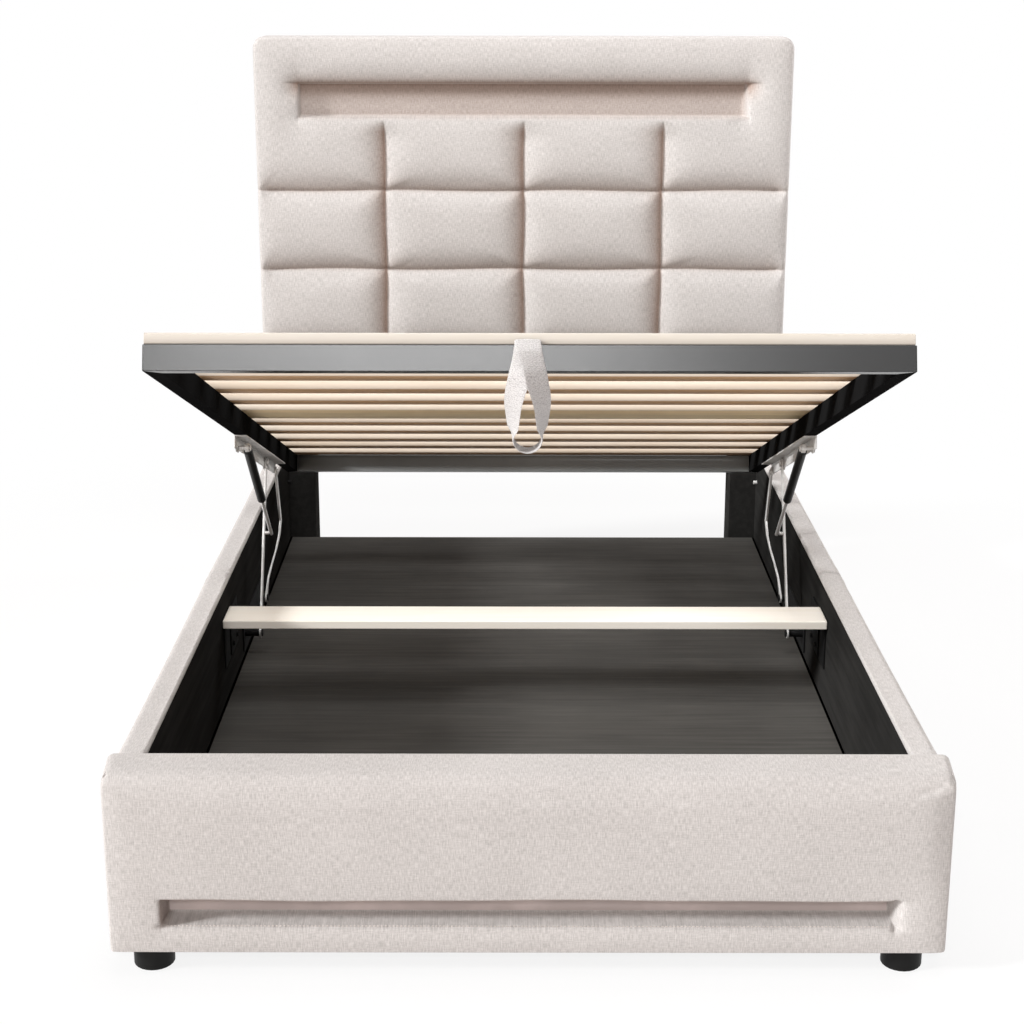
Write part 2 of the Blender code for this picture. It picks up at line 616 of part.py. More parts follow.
# ---------------------------------------------------------------- side rails and linings
lining_top = RAIL_TOP - LINING_DROP
rail_inner = HALF_INNER + LINING_THICK + GAP
for side, sign in SIDES:
    section = [(HALF_INNER, RAIL_TOP - RAIL_ROUND / 3), (HALF_INNER, lining_top + GAP),
               (rail_inner, lining_top + GAP), (rail_inner, BASE_BOTTOM),
               (RAIL_OUTER - RAIL_CROWN, BASE_BOTTOM),
               (RAIL_OUTER, (BASE_BOTTOM + RAIL_TOP) / 2)]
    for share in (0, 1, 2, 3):
        turn = math.pi / 2 * share / 3
        section.append((RAIL_OUTER - RAIL_ROUND + RAIL_ROUND * math.cos(turn),
                        RAIL_TOP - RAIL_ROUND + RAIL_ROUND * math.sin(turn)))
    section.append((HALF_INNER + RAIL_ROUND / 3, RAIL_TOP))
    section = [(sign * x, z) for x, z in section]
    for half_name, low, high in (("front", GAP, RAIL_JOINT - GAP), ("rear", RAIL_JOINT + GAP, INNER_LENGTH - GAP)):
        bm = bmesh.new()
        prism(bm, section, low, high, axis="y")
        add(f"rail_{half_name}_{side}", bm, FABRIC)
    bm = bmesh.new()
    x_low, x_high = span(sign, HALF_INNER, HALF_INNER + LINING_THICK)
    box(bm, (x_low, GAP, BEAM_BOTTOM), (x_high, INNER_LENGTH - GAP, lining_top))
    add(f"rail_lining_{side}", bm, BLACK_BOARD)
    bm = bmesh.new()
    x_low, x_high = span(sign, HALF_INNER - GAP - SPLICE_THICK, HALF_INNER - GAP)
    box(bm, (x_low, RAIL_JOINT - SPLICE_LENGTH / 2, BASE_BOTTOM + SPLICE_LIFT),
        (x_high, RAIL_JOINT + SPLICE_LENGTH / 2, BASE_BOTTOM + SPLICE_LIFT + SPLICE_HEIGHT))
    add(f"rail_splice_{side}", bm, BLACK_STEEL)

# ---------------------------------------------------------------- floor, beams and cross plank
floor_half = HALF_INNER - GAP
for name, low, high in (("front", GAP, FLOOR_SEAM - GAP), ("rear", FLOOR_SEAM + GAP, INNER_LENGTH - GAP)):
    bm = bmesh.new()
    box(bm, (-floor_half, low, FLOOR_TOP - FLOOR_THICK), (floor_half, high, FLOOR_TOP))
    add(f"floor_panel_{name}", bm, BLACK_BOARD)
for name, middle in (("front", BEAM_OFFSET), ("rear", INNER_LENGTH - BEAM_OFFSET)):
    bm = bmesh.new()
    box(bm, (-floor_half, middle - BEAM_WIDTH / 2, BEAM_BOTTOM),
        (floor_half, middle + BEAM_WIDTH / 2, FLOOR_TOP - FLOOR_THICK - GAP))
    add(f"floor_beam_{name}", bm, TIMBER)

bm = bmesh.new()
verts = box(bm, (-PLANK_LENGTH / 2, PLANK_START, PLANK_TOP - PLANK_THICK),
            (PLANK_LENGTH / 2, PLANK_START + PLANK_WIDTH, PLANK_TOP))
add("cross_plank", bm, TIMBER)
shelf_top = PLANK_TOP - PLANK_THICK - GAP
shelf_start = PLANK_START + (PLANK_WIDTH - SHELF_LENGTH) / 2
for side, sign in SIDES:
    bm = bmesh.new()
    wall_face = HALF_INNER - GAP
    outline = [(wall_face, shelf_top), (wall_face, shelf_top - SHELF_HEIGHT),
               (wall_face - SHELF_THICK, shelf_top - SHELF_HEIGHT), (wall_face - SHELF_THICK, shelf_top - SHELF_THICK),
               (wall_face - SHELF_REACH, shelf_top - SHELF_THICK), (wall_face - SHELF_REACH, shelf_top)]
    prism(bm, [(sign * x, z) for x, z in outline], shelf_start, shelf_start + SHELF_LENGTH, axis="y")
    add(f"plank_bracket_{side}", bm, BLACK_STEEL)

# ---------------------------------------------------------------- feet
foot_profile = ((0, 0), (FOOT_RADIUS * 0.96, 0), (FOOT_RADIUS, BASE_BOTTOM * 0.08),
                (FOOT_RADIUS, BASE_BOTTOM - GAP), (0, BASE_BOTTOM - GAP))
places = (("front", FOOT_X, FOOT_FRONT_Y), ("mid", FOOT_MID_X, RAIL_JOINT - FOOT_RADIUS * 2),
          ("rear", LEG_OUTER - FOOT_RADIUS, (INNER_LENGTH + LEG_BACK) / 2))
for where, x, y in places:
    for side, sign in SIDES:
        bm = bmesh.new()
        lathe(bm, foot_profile, FOOT_SEGMENTS, Matrix.Translation((sign * x, y, 0)))
        obj = add(f"foot_{where}_{side}", bm, PLASTIC)

# ---------------------------------------------------------------- lifting platform
PLATFORM_PIVOT = (0, FRONT_TOP[0], FRONT_TOP[1])


def lift_mesh(bm):
    """Moves a mesh laid out as (x, s, h) to the raised pose."""
    for vert in bm.verts:
        y, z = raised(vert.co.y, vert.co.z)
        vert.co = Vector((vert.co.x, y, z))


def tube_mitred(name, corners, inward, look):
    """Square steel tube with mitred open ends.

    corners are the two outer plan corners (x, s); inward is the plan direction to the middle.
    """
    bm = bmesh.new()
    ax, ay = corners[0]
    bx, by = corners[1]
    length = math.hypot(bx - ax, by - ay)
    ux, uy = (bx - ax) / length, (by - ay) / length
    loops = []
    for near, far in ((0, TUBE_WIDTH), (TUBE_WALL, TUBE_WIDTH - TUBE_WALL)):
        rise = near
        ring_a, ring_b = [], []
        for offset, height in ((near, rise), (far, rise), (far, TUBE_HEIGHT - rise), (near, TUBE_HEIGHT - rise)):
            cut = offset + GAP
            ring_a.append(bm.verts.new((ax + inward[0] * offset + ux * cut, ay + inward[1] * offset + uy * cut, height)))
            ring_b.append(bm.verts.new((bx + inward[0] * offset - ux * cut, by + inward[1] * offset - uy * cut, height)))
        loops.append((ring_a, ring_b))
    (oa, ob), (ia, ib) = loops
    for i in range(4):
        j = (i + 1) % 4
        bm.faces.new((oa[i], oa[j], ob[j], ob[i]))
        bm.faces.new((ia[i], ia[j], ib[j], ib[i]))
        bm.faces.new((oa[i], oa[j], ia[j], ia[i]))
        bm.faces.new((ob[i], ob[j], ib[j], ib[i]))
    lift_mesh(bm)
    add(name, bm, look, PLATFORM_PIVOT)


W, L = PLATFORM_HALF, PLATFORM_LENGTH
tube_mitred("platform_tube_front", ((-W, 0), (W, 0)), (0, 1), BLACK_STEEL)
tube_mitred("platform_tube_rear", ((-W, L), (W, L)), (0, -1), BLACK_STEEL)
tube_mitred("platform_tube_left", ((-W, 0), (-W, L)), (1, 0), BLACK_STEEL)
tube_mitred("platform_tube_right", ((W, 0), (W, L)), (-1, 0), BLACK_STEEL)

slat_low = TUBE_HEIGHT + GAP
for index, centre in enumerate(SLAT_PLACES):
    width = WIDE_SLAT if index == WIDE_SLAT_INDEX else SLAT_WIDTH
    bm = bmesh.new()
    box(bm, (-W + SLAT_INSET, centre - width / 2, slat_low), (W - SLAT_INSET, centre + width / 2, slat_low + SLAT_THICK))
    long_edges = [e for e in bm.edges if abs(e.verts[0].co.x - e.verts[1].co.x) > W]
    bmesh.ops.bevel(bm, geom=long_edges, offset=SLAT_BEVEL, segments=1, affect="EDGES")
    lift_mesh(bm)
    name = "wide_slat" if index == WIDE_SLAT_INDEX else f"slat_{index + 1:02d}"
    add(name, bm, TIMBER, PLATFORM_PIVOT)

# ---------------------------------------------------------------- pull strap
bm = bmesh.new()
strap_face = -GAP - STRAP_THICK / 2
strap_run = STRAP_TOP + STRAP_DROP - STRAP_WIDTH / 2
edge_share = STRAP_TOP / strap_run
stations = []
leg_shares = sorted([i / (STRAP_STATIONS - 1) for i in range(STRAP_STATIONS)] + [edge_share])
for layer, way in ((0, -1), (1, 1)):
    leg = []
    for share in leg_shares:
        fall = STRAP_TOP - strap_run * share
        turn_share = smoothstep((share - STRAP_FLAT_SHARE) / (0.95 - STRAP_FLAT_SHARE))
        layer_share = 1 - smoothstep((share - 0.66) / 0.30)
        out = way * STRAP_BULGE * max(share - STRAP_PARTED_SHARE, 0) / (1 - STRAP_PARTED_SHARE)
        front = strap_face - layer * (STRAP_THICK + RUN_GAP * 2) * layer_share
        turn = STRAP_TWIST * turn_share
        leg.append((Vector((out, front, fall)), Vector((math.cos(turn), math.sin(turn), 0))))
    stations.append(leg)
left_leg, right_leg = stations
bottom = []
bottom_turns_shares = (0.25, 0.5, 0.75)
last_left, last_right = left_leg[-1][0], right_leg[-1][0]
for share in bottom_turns_shares:
    angle = math.pi * (1 + share)
    radius = (last_right.x - last_left.x) / 2
    middle = (last_left + last_right) / 2
    bottom.append((middle + Vector((radius * math.cos(angle), 0, radius * math.sin(angle))), None))
path = left_leg + bottom + right_leg[::-1]
points = [p for p, _ in path]
rings = []
for index, (point, across) in enumerate(path):
    ahead = points[min(index + 1, len(points) - 1)]
    behind = points[max(index - 1, 0)]
    tangent = (ahead - behind).normalized()
    if across is None:
        before = left_leg[-1][1]
        across = Vector((0, -1, 0)) if before.y < 0 else Vector((0, 1, 0))
    if rings and across.dot(rings[-1][1]) < 0:
        across = -across
    normal = tangent.cross(across)
    if index < len(left_leg) or index >= len(left_leg) + len(bottom):
        normal.z = 0
    normal.normalize()
    ring = [bm.verts.new(point + across * a * STRAP_WIDTH / 2 + normal * n * STRAP_THICK / 2)
            for a, n in ((-1, -1), (1, -1), (1, 1), (-1, 1))]
    rings.append((ring, across))
for (one, _), (two, _) in zip(rings, rings[1:]):
    for i in range(4):
        j = (i + 1) % 4
        bm.faces.new((one[i], one[j], two[j], two[i]))
bm.faces.new(rings[0][0])
bm.faces.new(rings[-1][0])
strap_top_edge = raised(0, STRAP_TOP)
hang = raised(0, 0)
for vert in bm.verts:
    x, s, h = vert.co
    if h > 0:
        y, z = raised(s, h)
    else:
        y, z = hang[0] + s * COS_TILT, hang[1] + h
        blend = smoothstep(-h / (STRAP_WIDTH / 2))
        tilted = raised(s, h)
        y = tilted[0] * (1 - blend) + y * blend
        z = tilted[1] * (1 - blend) + z * blend
    vert.co = Vector((x, y, z))
add("pull_strap", bm, FABRIC, PLATFORM_PIVOT)

# ---------------------------------------------------------------- lift mechanism
for side, sign in SIDES:
    # steel angle under the side tube, with its pivot pins and the gas spring's stud
    bm = bmesh.new()
    top = -GAP
    flange = [(IRON_START, top), (IRON_START, -IRON_DROP)]
    for middle in (SPRING_REACH, FRONT_PIVOT_REACH):
        flange += [(middle - TAB_HALF, -IRON_DROP), (middle - TAB_HALF * 0.6, -TAB_DROP),
                   (middle + TAB_HALF * 0.6, -TAB_DROP), (middle + TAB_HALF, -IRON_DROP)]
    flange += [(IRON_END, -IRON_DROP), (IRON_END, top)]
    shelf = ((IRON_INNER, top), (PLATFORM_HALF - TUBE_WIDTH, top),
             (PLATFORM_HALF - TUBE_WIDTH, top - IRON_THICK), (IRON_INNER, top - IRON_THICK))
    inner = [bm.verts.new((sign * IRON_INNER, s, h)) for s, h in flange[1:-1]]
    inner_shelf = {}
    for end in (IRON_START, IRON_END):
        inner_shelf[end] = [bm.verts.new((sign * x, end, h)) for x, h in shelf[1:]]
    outer = [bm.verts.new((sign * PLATFORM_HALF, s, h)) for s, h in flange]
    count = len(outer)
    for i in range(1, count - 2):
        bm.faces.new((inner[i - 1], inner[i], outer[i + 1], outer[i]))
    start, end = inner_shelf[IRON_START], inner_shelf[IRON_END]
    bm.faces.new((outer[0], outer[1], inner[0], start[2], start[1], start[0]))
    bm.faces.new((outer[-1], outer[-2], inner[-1], end[2], end[1], end[0]))
    bm.faces.new((outer[0], start[0], end[0], outer[-1]))
    bm.faces.new((start[0], start[1], end[1], end[0]))
    bm.faces.new((start[1], start[2], end[2], end[1]))
    bm.faces.new(outer)
    pins = [(SPRING_REACH, -SPRING_DROP, PIN_RADIUS * 0.8, SPRING_X - SPRING_EYE_HALF - RUN_GAP - HEAD_THICK),
            (FRONT_PIVOT_REACH, -PIVOT_DROP, PIN_RADIUS, ARM_IN - RUN_GAP - HEAD_THICK)]
    holes = []
    for s, h, radius, tip in pins:
        ring = [bm.verts.new((sign * IRON_INNER, u, v))
                for u, v in circle((s, h), radius, SMALL_SEGMENTS)]
        neck = [bm.verts.new((sign * (tip + HEAD_THICK), v.co.y, v.co.z)) for v in ring]
        head_radius = radius * HEAD_RADIUS / PIN_RADIUS
        rim = [bm.verts.new((sign * (tip + HEAD_THICK), u, v))
               for u, v in circle((s, h), head_radius, SMALL_SEGMENTS)]
        cap = [bm.verts.new((sign * tip, v.co.y, v.co.z)) for v in rim]
        for i in range(SMALL_SEGMENTS):
            j = (i + 1) % SMALL_SEGMENTS
            bm.faces.new((ring[i], ring[j], neck[j], neck[i]))
            bm.faces.new((neck[i], neck[j], rim[j], rim[i]))
            bm.faces.new((rim[i], rim[j], cap[j], cap[i]))
        bm.faces.new(cap)
        holes.append(ring)
    edges = []
    face_loop = [start[2], *inner, end[2]]
    for loop in (face_loop, *holes):
        for i in range(len(loop)):
            pair = (loop[i], loop[(i + 1) % len(loop)])
            edges.append(bm.edges.get(pair) or bm.edges.new(pair))
    bmesh.ops.triangle_fill(bm, edges=edges, use_beauty=True)
    lift_mesh(bm)
    add(f"lift_angle_{side}", bm, ZINC, PLATFORM_PIVOT)

    # plate on the lining with the two fixed pivot pins
    bm = bmesh.new()
    plate_out = HALF_INNER - GAP
    plate_in = plate_out - PLATE_THICK
    low_y, high_y = FRONT_BASE[0] - PLATE_MARGIN, REAR_BASE[0] + PLATE_MARGIN
    rect = [(low_y, PLATE_LOW), (high_y, PLATE_LOW), (high_y, PLATE_HIGH), (low_y, PLATE_HIGH)]
    back = [bm.verts.new((sign * plate_out, y, z)) for y, z in rect]
    face = [bm.verts.new((sign * plate_in, y, z)) for y, z in rect]
    bm.faces.new(back)
    for i in range(4):
        j = (i + 1) % 4
        bm.faces.new((back[i], back[j], face[j], face[i]))
    holes = []
    for (y, z), shoulder, boss in ((FRONT_BASE, ARM_OUT + RUN_GAP, HEAD_RADIUS),
                                   (REAR_BASE, REAR_BASE_X + ARM_THICK + RUN_GAP, HEAD_RADIUS)):
        levels = ((plate_in, boss), (shoulder, boss), (shoulder, PIN_RADIUS),
                  (shoulder - ARM_THICK - RUN_GAP * 2, PIN_RADIUS), (shoulder - ARM_THICK - RUN_GAP * 2, boss),
                  (shoulder - ARM_THICK - RUN_GAP * 2 - HEAD_THICK, boss))
        rings = [[bm.verts.new((sign * x, u, v)) for u, v in circle((y, z), radius, SMALL_SEGMENTS)]
                 for x, radius in levels]
        for one, two in zip(rings, rings[1:]):
            for i in range(SMALL_SEGMENTS):
                j = (i + 1) % SMALL_SEGMENTS
                bm.faces.new((one[i], one[j], two[j], two[i]))
        bm.faces.new(rings[-1])
        holes.append(rings[0])
    edges = []
    for loop in (face, *holes):
        for i in range(len(loop)):
            pair = (loop[i], loop[(i + 1) % len(loop)])
            edges.append(bm.edges.get(pair) or bm.edges.new(pair))
    bmesh.ops.triangle_fill(bm, edges=edges, use_beauty=True)
    add(f"lift_plate_{side}", bm, ZINC)

    # front arm: a straight flat bar with a hole at each end and a stub for the gas spring
    bm = bmesh.new()
    outline = bar_outline([FRONT_BASE, SPRING_END, FRONT_TOP], ARM_HALF, ARM_EYE, ROUND_SEGMENTS)
    hole_radius = PIN_RADIUS + RUN_GAP
    eyes = [circle(FRONT_BASE, hole_radius, SMALL_SEGMENTS), circle(FRONT_TOP, hole_radius, SMALL_SEGMENTS)]
    stub = circle(SPRING_END, PIN_RADIUS * 0.8, SMALL_SEGMENTS)
    out_loops = [[bm.verts.new((sign * ARM_OUT, u, v)) for u, v in loop] for loop in (outline, *eyes)]
    in_loops = [[bm.verts.new((sign * ARM_IN, u, v)) for u, v in loop] for loop in (outline, *eyes)]
    for one, two in zip(out_loops, in_loops):
        for i in range(len(one)):
            j = (i + 1) % len(one)
            bm.faces.new((one[i], one[j], two[j], two[i]))
    stub_base = [bm.verts.new((sign * ARM_IN, u, v)) for u, v in stub]
    stub_tip_x = SPRING_X + SPRING_EYE_HALF + RUN_GAP
    stub_tip = [bm.verts.new((sign * stub_tip_x, u, v)) for u, v in stub]
    for i in range(SMALL_SEGMENTS):
        j = (i + 1) % SMALL_SEGMENTS
        bm.faces.new((stub_base[i], stub_base[j], stub_tip[j], stub_tip[i]))
    bm.faces.new(stub_tip)
    for group in (out_loops, [*in_loops, stub_base]):
        edges = []
        for loop in group:
            for i in range(len(loop)):
                edges.append(bm.edges.get((loop[i], loop[(i + 1) % len(loop)])))
        bmesh.ops.triangle_fill(bm, edges=edges, use_beauty=True)
    add(f"front_arm_{side}", bm, ZINC, (sign * ARM_IN, *FRONT_BASE))

    # rear arm: a bent bar whose lower length leans out to the plate
    bm = bmesh.new()
    outline = bar_outline([REAR_BASE, REAR_KNEE, REAR_TOP], ARM_HALF, ARM_EYE, ROUND_SEGMENTS)
    eye = circle(REAR_BASE, hole_radius, SMALL_SEGMENTS)
    knee_start = REAR_KNEE[1] - ARM_HALF * 2
    base_end = REAR_BASE[1] + ARM_EYE * 1.4

    def lean(z):
        """Inner face of the rear arm at a height."""
        share = smoothstep((z - base_end) / (knee_start - base_end))
        return REAR_BASE_X + (ARM_IN - REAR_BASE_X) * share

    lengths_shares = (0.22, 0.42, 0.6, 0.8)
    count = ROUND_SEGMENTS + 1
    eye_low, rest = outline[:count], outline[count:]
    below_knee, eye_high, above_knee = rest[0], rest[1:1 + count], rest[1 + count]
    first_side = [tuple(eye_low[-1][k] + (below_knee[k] - eye_low[-1][k]) * share for k in (0, 1)) for share in lengths_shares]
    second_side = [tuple(above_knee[k] + (eye_low[0][k] - above_knee[k]) * share for k in (0, 1)) for share in (0.2, 0.4, 0.58, 0.78)]
    full = eye_low + first_side + [below_knee] + list(eye_high) + [above_knee] + second_side
    pairs = []
    for level in (0, ARM_THICK):
        pairs.append([[bm.verts.new((sign * (lean(v) + level), u, v)) for u, v in loop] for loop in (full, eye)])
    for one, two in zip(pairs[0], pairs[1]):
        for i in range(len(one)):
            j = (i + 1) % len(one)
            bm.faces.new((one[i], one[j], two[j], two[i]))
    head = [bm.verts.new((sign * ARM_IN, u, v)) for u, v in circle(REAR_TOP, HEAD_RADIUS * 0.8, SMALL_SEGMENTS)]
    cap = [bm.verts.new((sign * (ARM_IN - HEAD_THICK), v.co.y, v.co.z)) for v in head]
    for i in range(SMALL_SEGMENTS):
        j = (i + 1) % SMALL_SEGMENTS
        bm.faces.new((head[i], head[j], cap[j], cap[i]))
    bm.faces.new(cap)
    for group in ([*pairs[0], head], pairs[1]):
        edges = []
        for loop in group:
            for i in range(len(loop)):
                edges.append(bm.edges.get((loop[i], loop[(i + 1) % len(loop)])))
        bmesh.ops.triangle_fill(bm, edges=edges, use_beauty=True)
    add(f"rear_arm_{side}", bm, ZINC, (sign * REAR_BASE_X, *REAR_BASE))

    # gas spring: cylinder on the angle, rod towards the front arm
    run = Vector((0, SPRING_END[0] - SPRING_TOP[0], SPRING_END[1] - SPRING_TOP[1]))
    spring_length = run.length
    way = run.normalized()
    frame = Matrix((Vector((1, 0, 0)), way.cross(Vector((1, 0, 0))), way)).transposed().to_4x4()
    spring_place = Matrix.Translation((sign * SPRING_X, *SPRING_TOP)) @ frame

    bm = bmesh.new()
    eye_hole = PIN_RADIUS * 0.8 + RUN_GAP
    neck_start = SPRING_EYE * 1.5
    outer = circle((0, 0), SPRING_EYE, ROUND_SEGMENTS)
    prism(bm, outer, -SPRING_EYE_HALF, SPRING_EYE_HALF, axis="x", holes=[circle((0, 0), eye_hole, SMALL_SEGMENTS)])
    for vert in bm.verts:
        vert.co = spring_place @ vert.co
    add(f"spring_eye_{side}", bm, ZINC, (sign * SPRING_X, *SPRING_TOP))

    bm = bmesh.new()
    start = SPRING_EYE + GAP
    profile = ((0, start), (CYLINDER_RADIUS * 0.6, start), (CYLINDER_RADIUS, neck_start),
               (CYLINDER_RADIUS, CYLINDER_LENGTH - BOLT_RADIUS / 5), (CYLINDER_RADIUS * 0.86, CYLINDER_LENGTH),
               (CYLINDER_BORE, CYLINDER_LENGTH), (CYLINDER_BORE, neck_start * 2), (0, neck_start * 2))
    lathe(bm, profile, ROUND_SEGMENTS, spring_place)
    add(f"gas_cylinder_{side}", bm, PLASTIC, (sign * SPRING_X, *SPRING_TOP), smooth=False)

    bm = bmesh.new()
    rod_start = CYLINDER_LENGTH - ROD_INSIDE
    rod_end = spring_length
    profile = ((0, rod_start), (ROD_RADIUS, rod_start), (ROD_RADIUS, rod_end + SPRING_EYE * 0.5),
               (ROD_RADIUS * 0.7, rod_end + SPRING_EYE * 0.8), (0, rod_end + SPRING_EYE * 0.8))
    lathe(bm, profile, ROUND_SEGMENTS, spring_place)
    add(f"gas_rod_{side}", bm, ZINC, (sign * SPRING_X, *SPRING_TOP))
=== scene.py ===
"""Looks of an upholstered storage bed whose slatted platform lifts on arms and gas springs.

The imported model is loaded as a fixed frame. Padded pieces replace their plain solids, rigid pieces
get softened edges and finishes, and small fasteners and stitches are added. Metres, +Z up, +Y from
the footboard to the headboard.
"""
import json
import logging
import math
from dataclasses import dataclass, field
from enum import Enum
from typing import Callable, Optional, Sequence

import bmesh
import bpy
import numpy as np
from mathutils import Matrix, Vector

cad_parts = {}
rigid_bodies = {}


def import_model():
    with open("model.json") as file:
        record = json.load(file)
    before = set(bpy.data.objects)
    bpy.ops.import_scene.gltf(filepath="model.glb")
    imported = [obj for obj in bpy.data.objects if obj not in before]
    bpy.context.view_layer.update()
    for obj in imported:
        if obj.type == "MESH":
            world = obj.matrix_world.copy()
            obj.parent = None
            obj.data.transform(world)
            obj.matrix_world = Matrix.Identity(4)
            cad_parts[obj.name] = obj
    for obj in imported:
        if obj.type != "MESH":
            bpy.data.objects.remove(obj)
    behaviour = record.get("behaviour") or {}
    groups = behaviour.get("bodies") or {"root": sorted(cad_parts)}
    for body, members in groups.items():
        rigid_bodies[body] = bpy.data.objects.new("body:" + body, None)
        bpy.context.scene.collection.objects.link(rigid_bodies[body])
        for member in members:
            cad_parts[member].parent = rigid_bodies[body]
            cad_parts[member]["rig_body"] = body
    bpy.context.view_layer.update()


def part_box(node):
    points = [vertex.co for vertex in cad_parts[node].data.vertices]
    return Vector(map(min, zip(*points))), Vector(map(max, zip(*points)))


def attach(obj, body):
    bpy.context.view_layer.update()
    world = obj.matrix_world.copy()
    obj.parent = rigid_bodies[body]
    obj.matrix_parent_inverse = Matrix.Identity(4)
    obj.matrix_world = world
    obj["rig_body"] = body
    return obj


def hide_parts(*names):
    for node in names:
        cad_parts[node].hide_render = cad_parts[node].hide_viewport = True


log = logging.getLogger("storage_bed")
Colour = tuple[float, float, float]
Numbers = float | np.ndarray
SIDES = (("left", -1), ("right", 1))
CLOTH_MAP = "cloth"              # map of the cloth's own directions, in metres
PAINTED_SHADE = "gloom"                  # painted shade: how shut in a point of the cloth is, from 0 to 1, which darkens and browns its colour
RIM_HELD = 0.010                 # width of the rim where a board's cloth is tacked down
RIM_OVER = 0.008                 # distance over which that hold ends
SAME = 1e-5                      # points or lines nearer than this are one
TINY = 1e-9                      # keeps a quotient finite
WHITE = (1.0, 1.0, 1.0)


# ---------------------------------------------------------------- shader helpers
class Num:
    """A number worked out by a node tree; arithmetic on it adds Math nodes."""

    def __init__(self, graph: "Nodes", socket: bpy.types.NodeSocket) -> None:
        """Keeps the node tree and the socket that gives the number."""
        self.graph = graph
        self.socket = socket

    def _with(self, operation: str, other: "Num | float", swap: bool = False) -> "Num":
        """Adds one Math node between this number and another.

        Args:
            operation: name of the Math operation.
            other: the second number.
            swap: puts the other number first.

        Returns:
            The result.
        """
        pair = (other, self) if swap else (self, other)
        return self.graph.math(operation, *pair)

    def __add__(self, other: "Num | float") -> "Num":
        """Sum."""
        return self._with("ADD", other)

    def __radd__(self, other: float) -> "Num":
        """Sum with the number on the right."""
        return self._with("ADD", other, True)

    def __sub__(self, other: "Num | float") -> "Num":
        """Difference."""
        return self._with("SUBTRACT", other)

    def __rsub__(self, other: float) -> "Num":
        """Difference with the number on the right."""
        return self._with("SUBTRACT", other, True)

    def __mul__(self, other: "Num | float") -> "Num":
        """Product."""
        return self._with("MULTIPLY", other)

    def __rmul__(self, other: float) -> "Num":
        """Product with the number on the right."""
        return self._with("MULTIPLY", other, True)

    def __truediv__(self, other: "Num | float") -> "Num":
        """Quotient."""
        return self._with("DIVIDE", other)

    def __rtruediv__(self, other: float) -> "Num":
        """Quotient with the number below."""
        return self._with("DIVIDE", other, True)

    def __pow__(self, other: "Num | float") -> "Num":
        """Power."""
        return self._with("POWER", other)

    def __abs__(self) -> "Num":
        """Size without its sign."""
        return self.graph.math("ABSOLUTE", self)

    def sine(self) -> "Num":
        """Sine of the number in radians."""
        return self.graph.math("SINE", self)

    def most(self, other: "Num | float") -> "Num":
        """The larger of two numbers."""
        return self._with("MAXIMUM", other)

    def eased(self, low: float, high: float) -> "Num":
        """Rises smoothly between two values, or falls where the first is above the second.

        Args:
            low: value that gives 0.
            high: value that gives 1.

        Returns:
            The eased number.
        """
        if low > high:
            return 1 - self.eased(high, low)
        node = self.graph.make("ShaderNodeMapRange", {"interpolation_type": "SMOOTHSTEP"},
                               {"Value": self, "From Min": low, "From Max": high})
        return Num(self.graph, node.outputs["Result"])


class Nodes:
    """A node tree under construction."""

    def __init__(self, tree: bpy.types.NodeTree) -> None:
        """Keeps the tree."""
        self.tree = tree

    def make(self, kind: str, settings: Optional[dict] = None,
             sockets: Optional[dict] = None) -> bpy.types.Node:
        """Adds a node.

        Args:
            kind: the node's type.
            settings: properties, set before the inputs.
            sockets: values or links for its inputs, by name or number.

        Returns:
            The node.
        """
        node = self.tree.nodes.new(kind)
        for key, value in (settings or {}).items():
            setattr(node, key, value)
        for key, value in (sockets or {}).items():
            self.join(node.inputs[key], value)
        return node

    def join(self, socket: bpy.types.NodeSocket, value: object) -> None:
        """Links a socket, or sets its value.

        Args:
            socket: the input.
            value: a number, colour or output.
        """
        if isinstance(value, Num):
            value = value.socket
        if isinstance(value, bpy.types.NodeSocket):
            self.tree.links.new(value, socket)
        elif socket.type == "RGBA" and len(value) == 3:
            socket.default_value = (*value, 1)
        else:
            socket.default_value = value

    def math(self, operation: str, *values: "Num | float") -> Num:
        """Adds one Math node.

        Args:
            operation: name of the Math operation.
            values: numbers for its inputs in order.

        Returns:
            The result.
        """
        node = self.make("ShaderNodeMath", {"operation": operation}, dict(enumerate(values)))
        return Num(self, node.outputs[0])


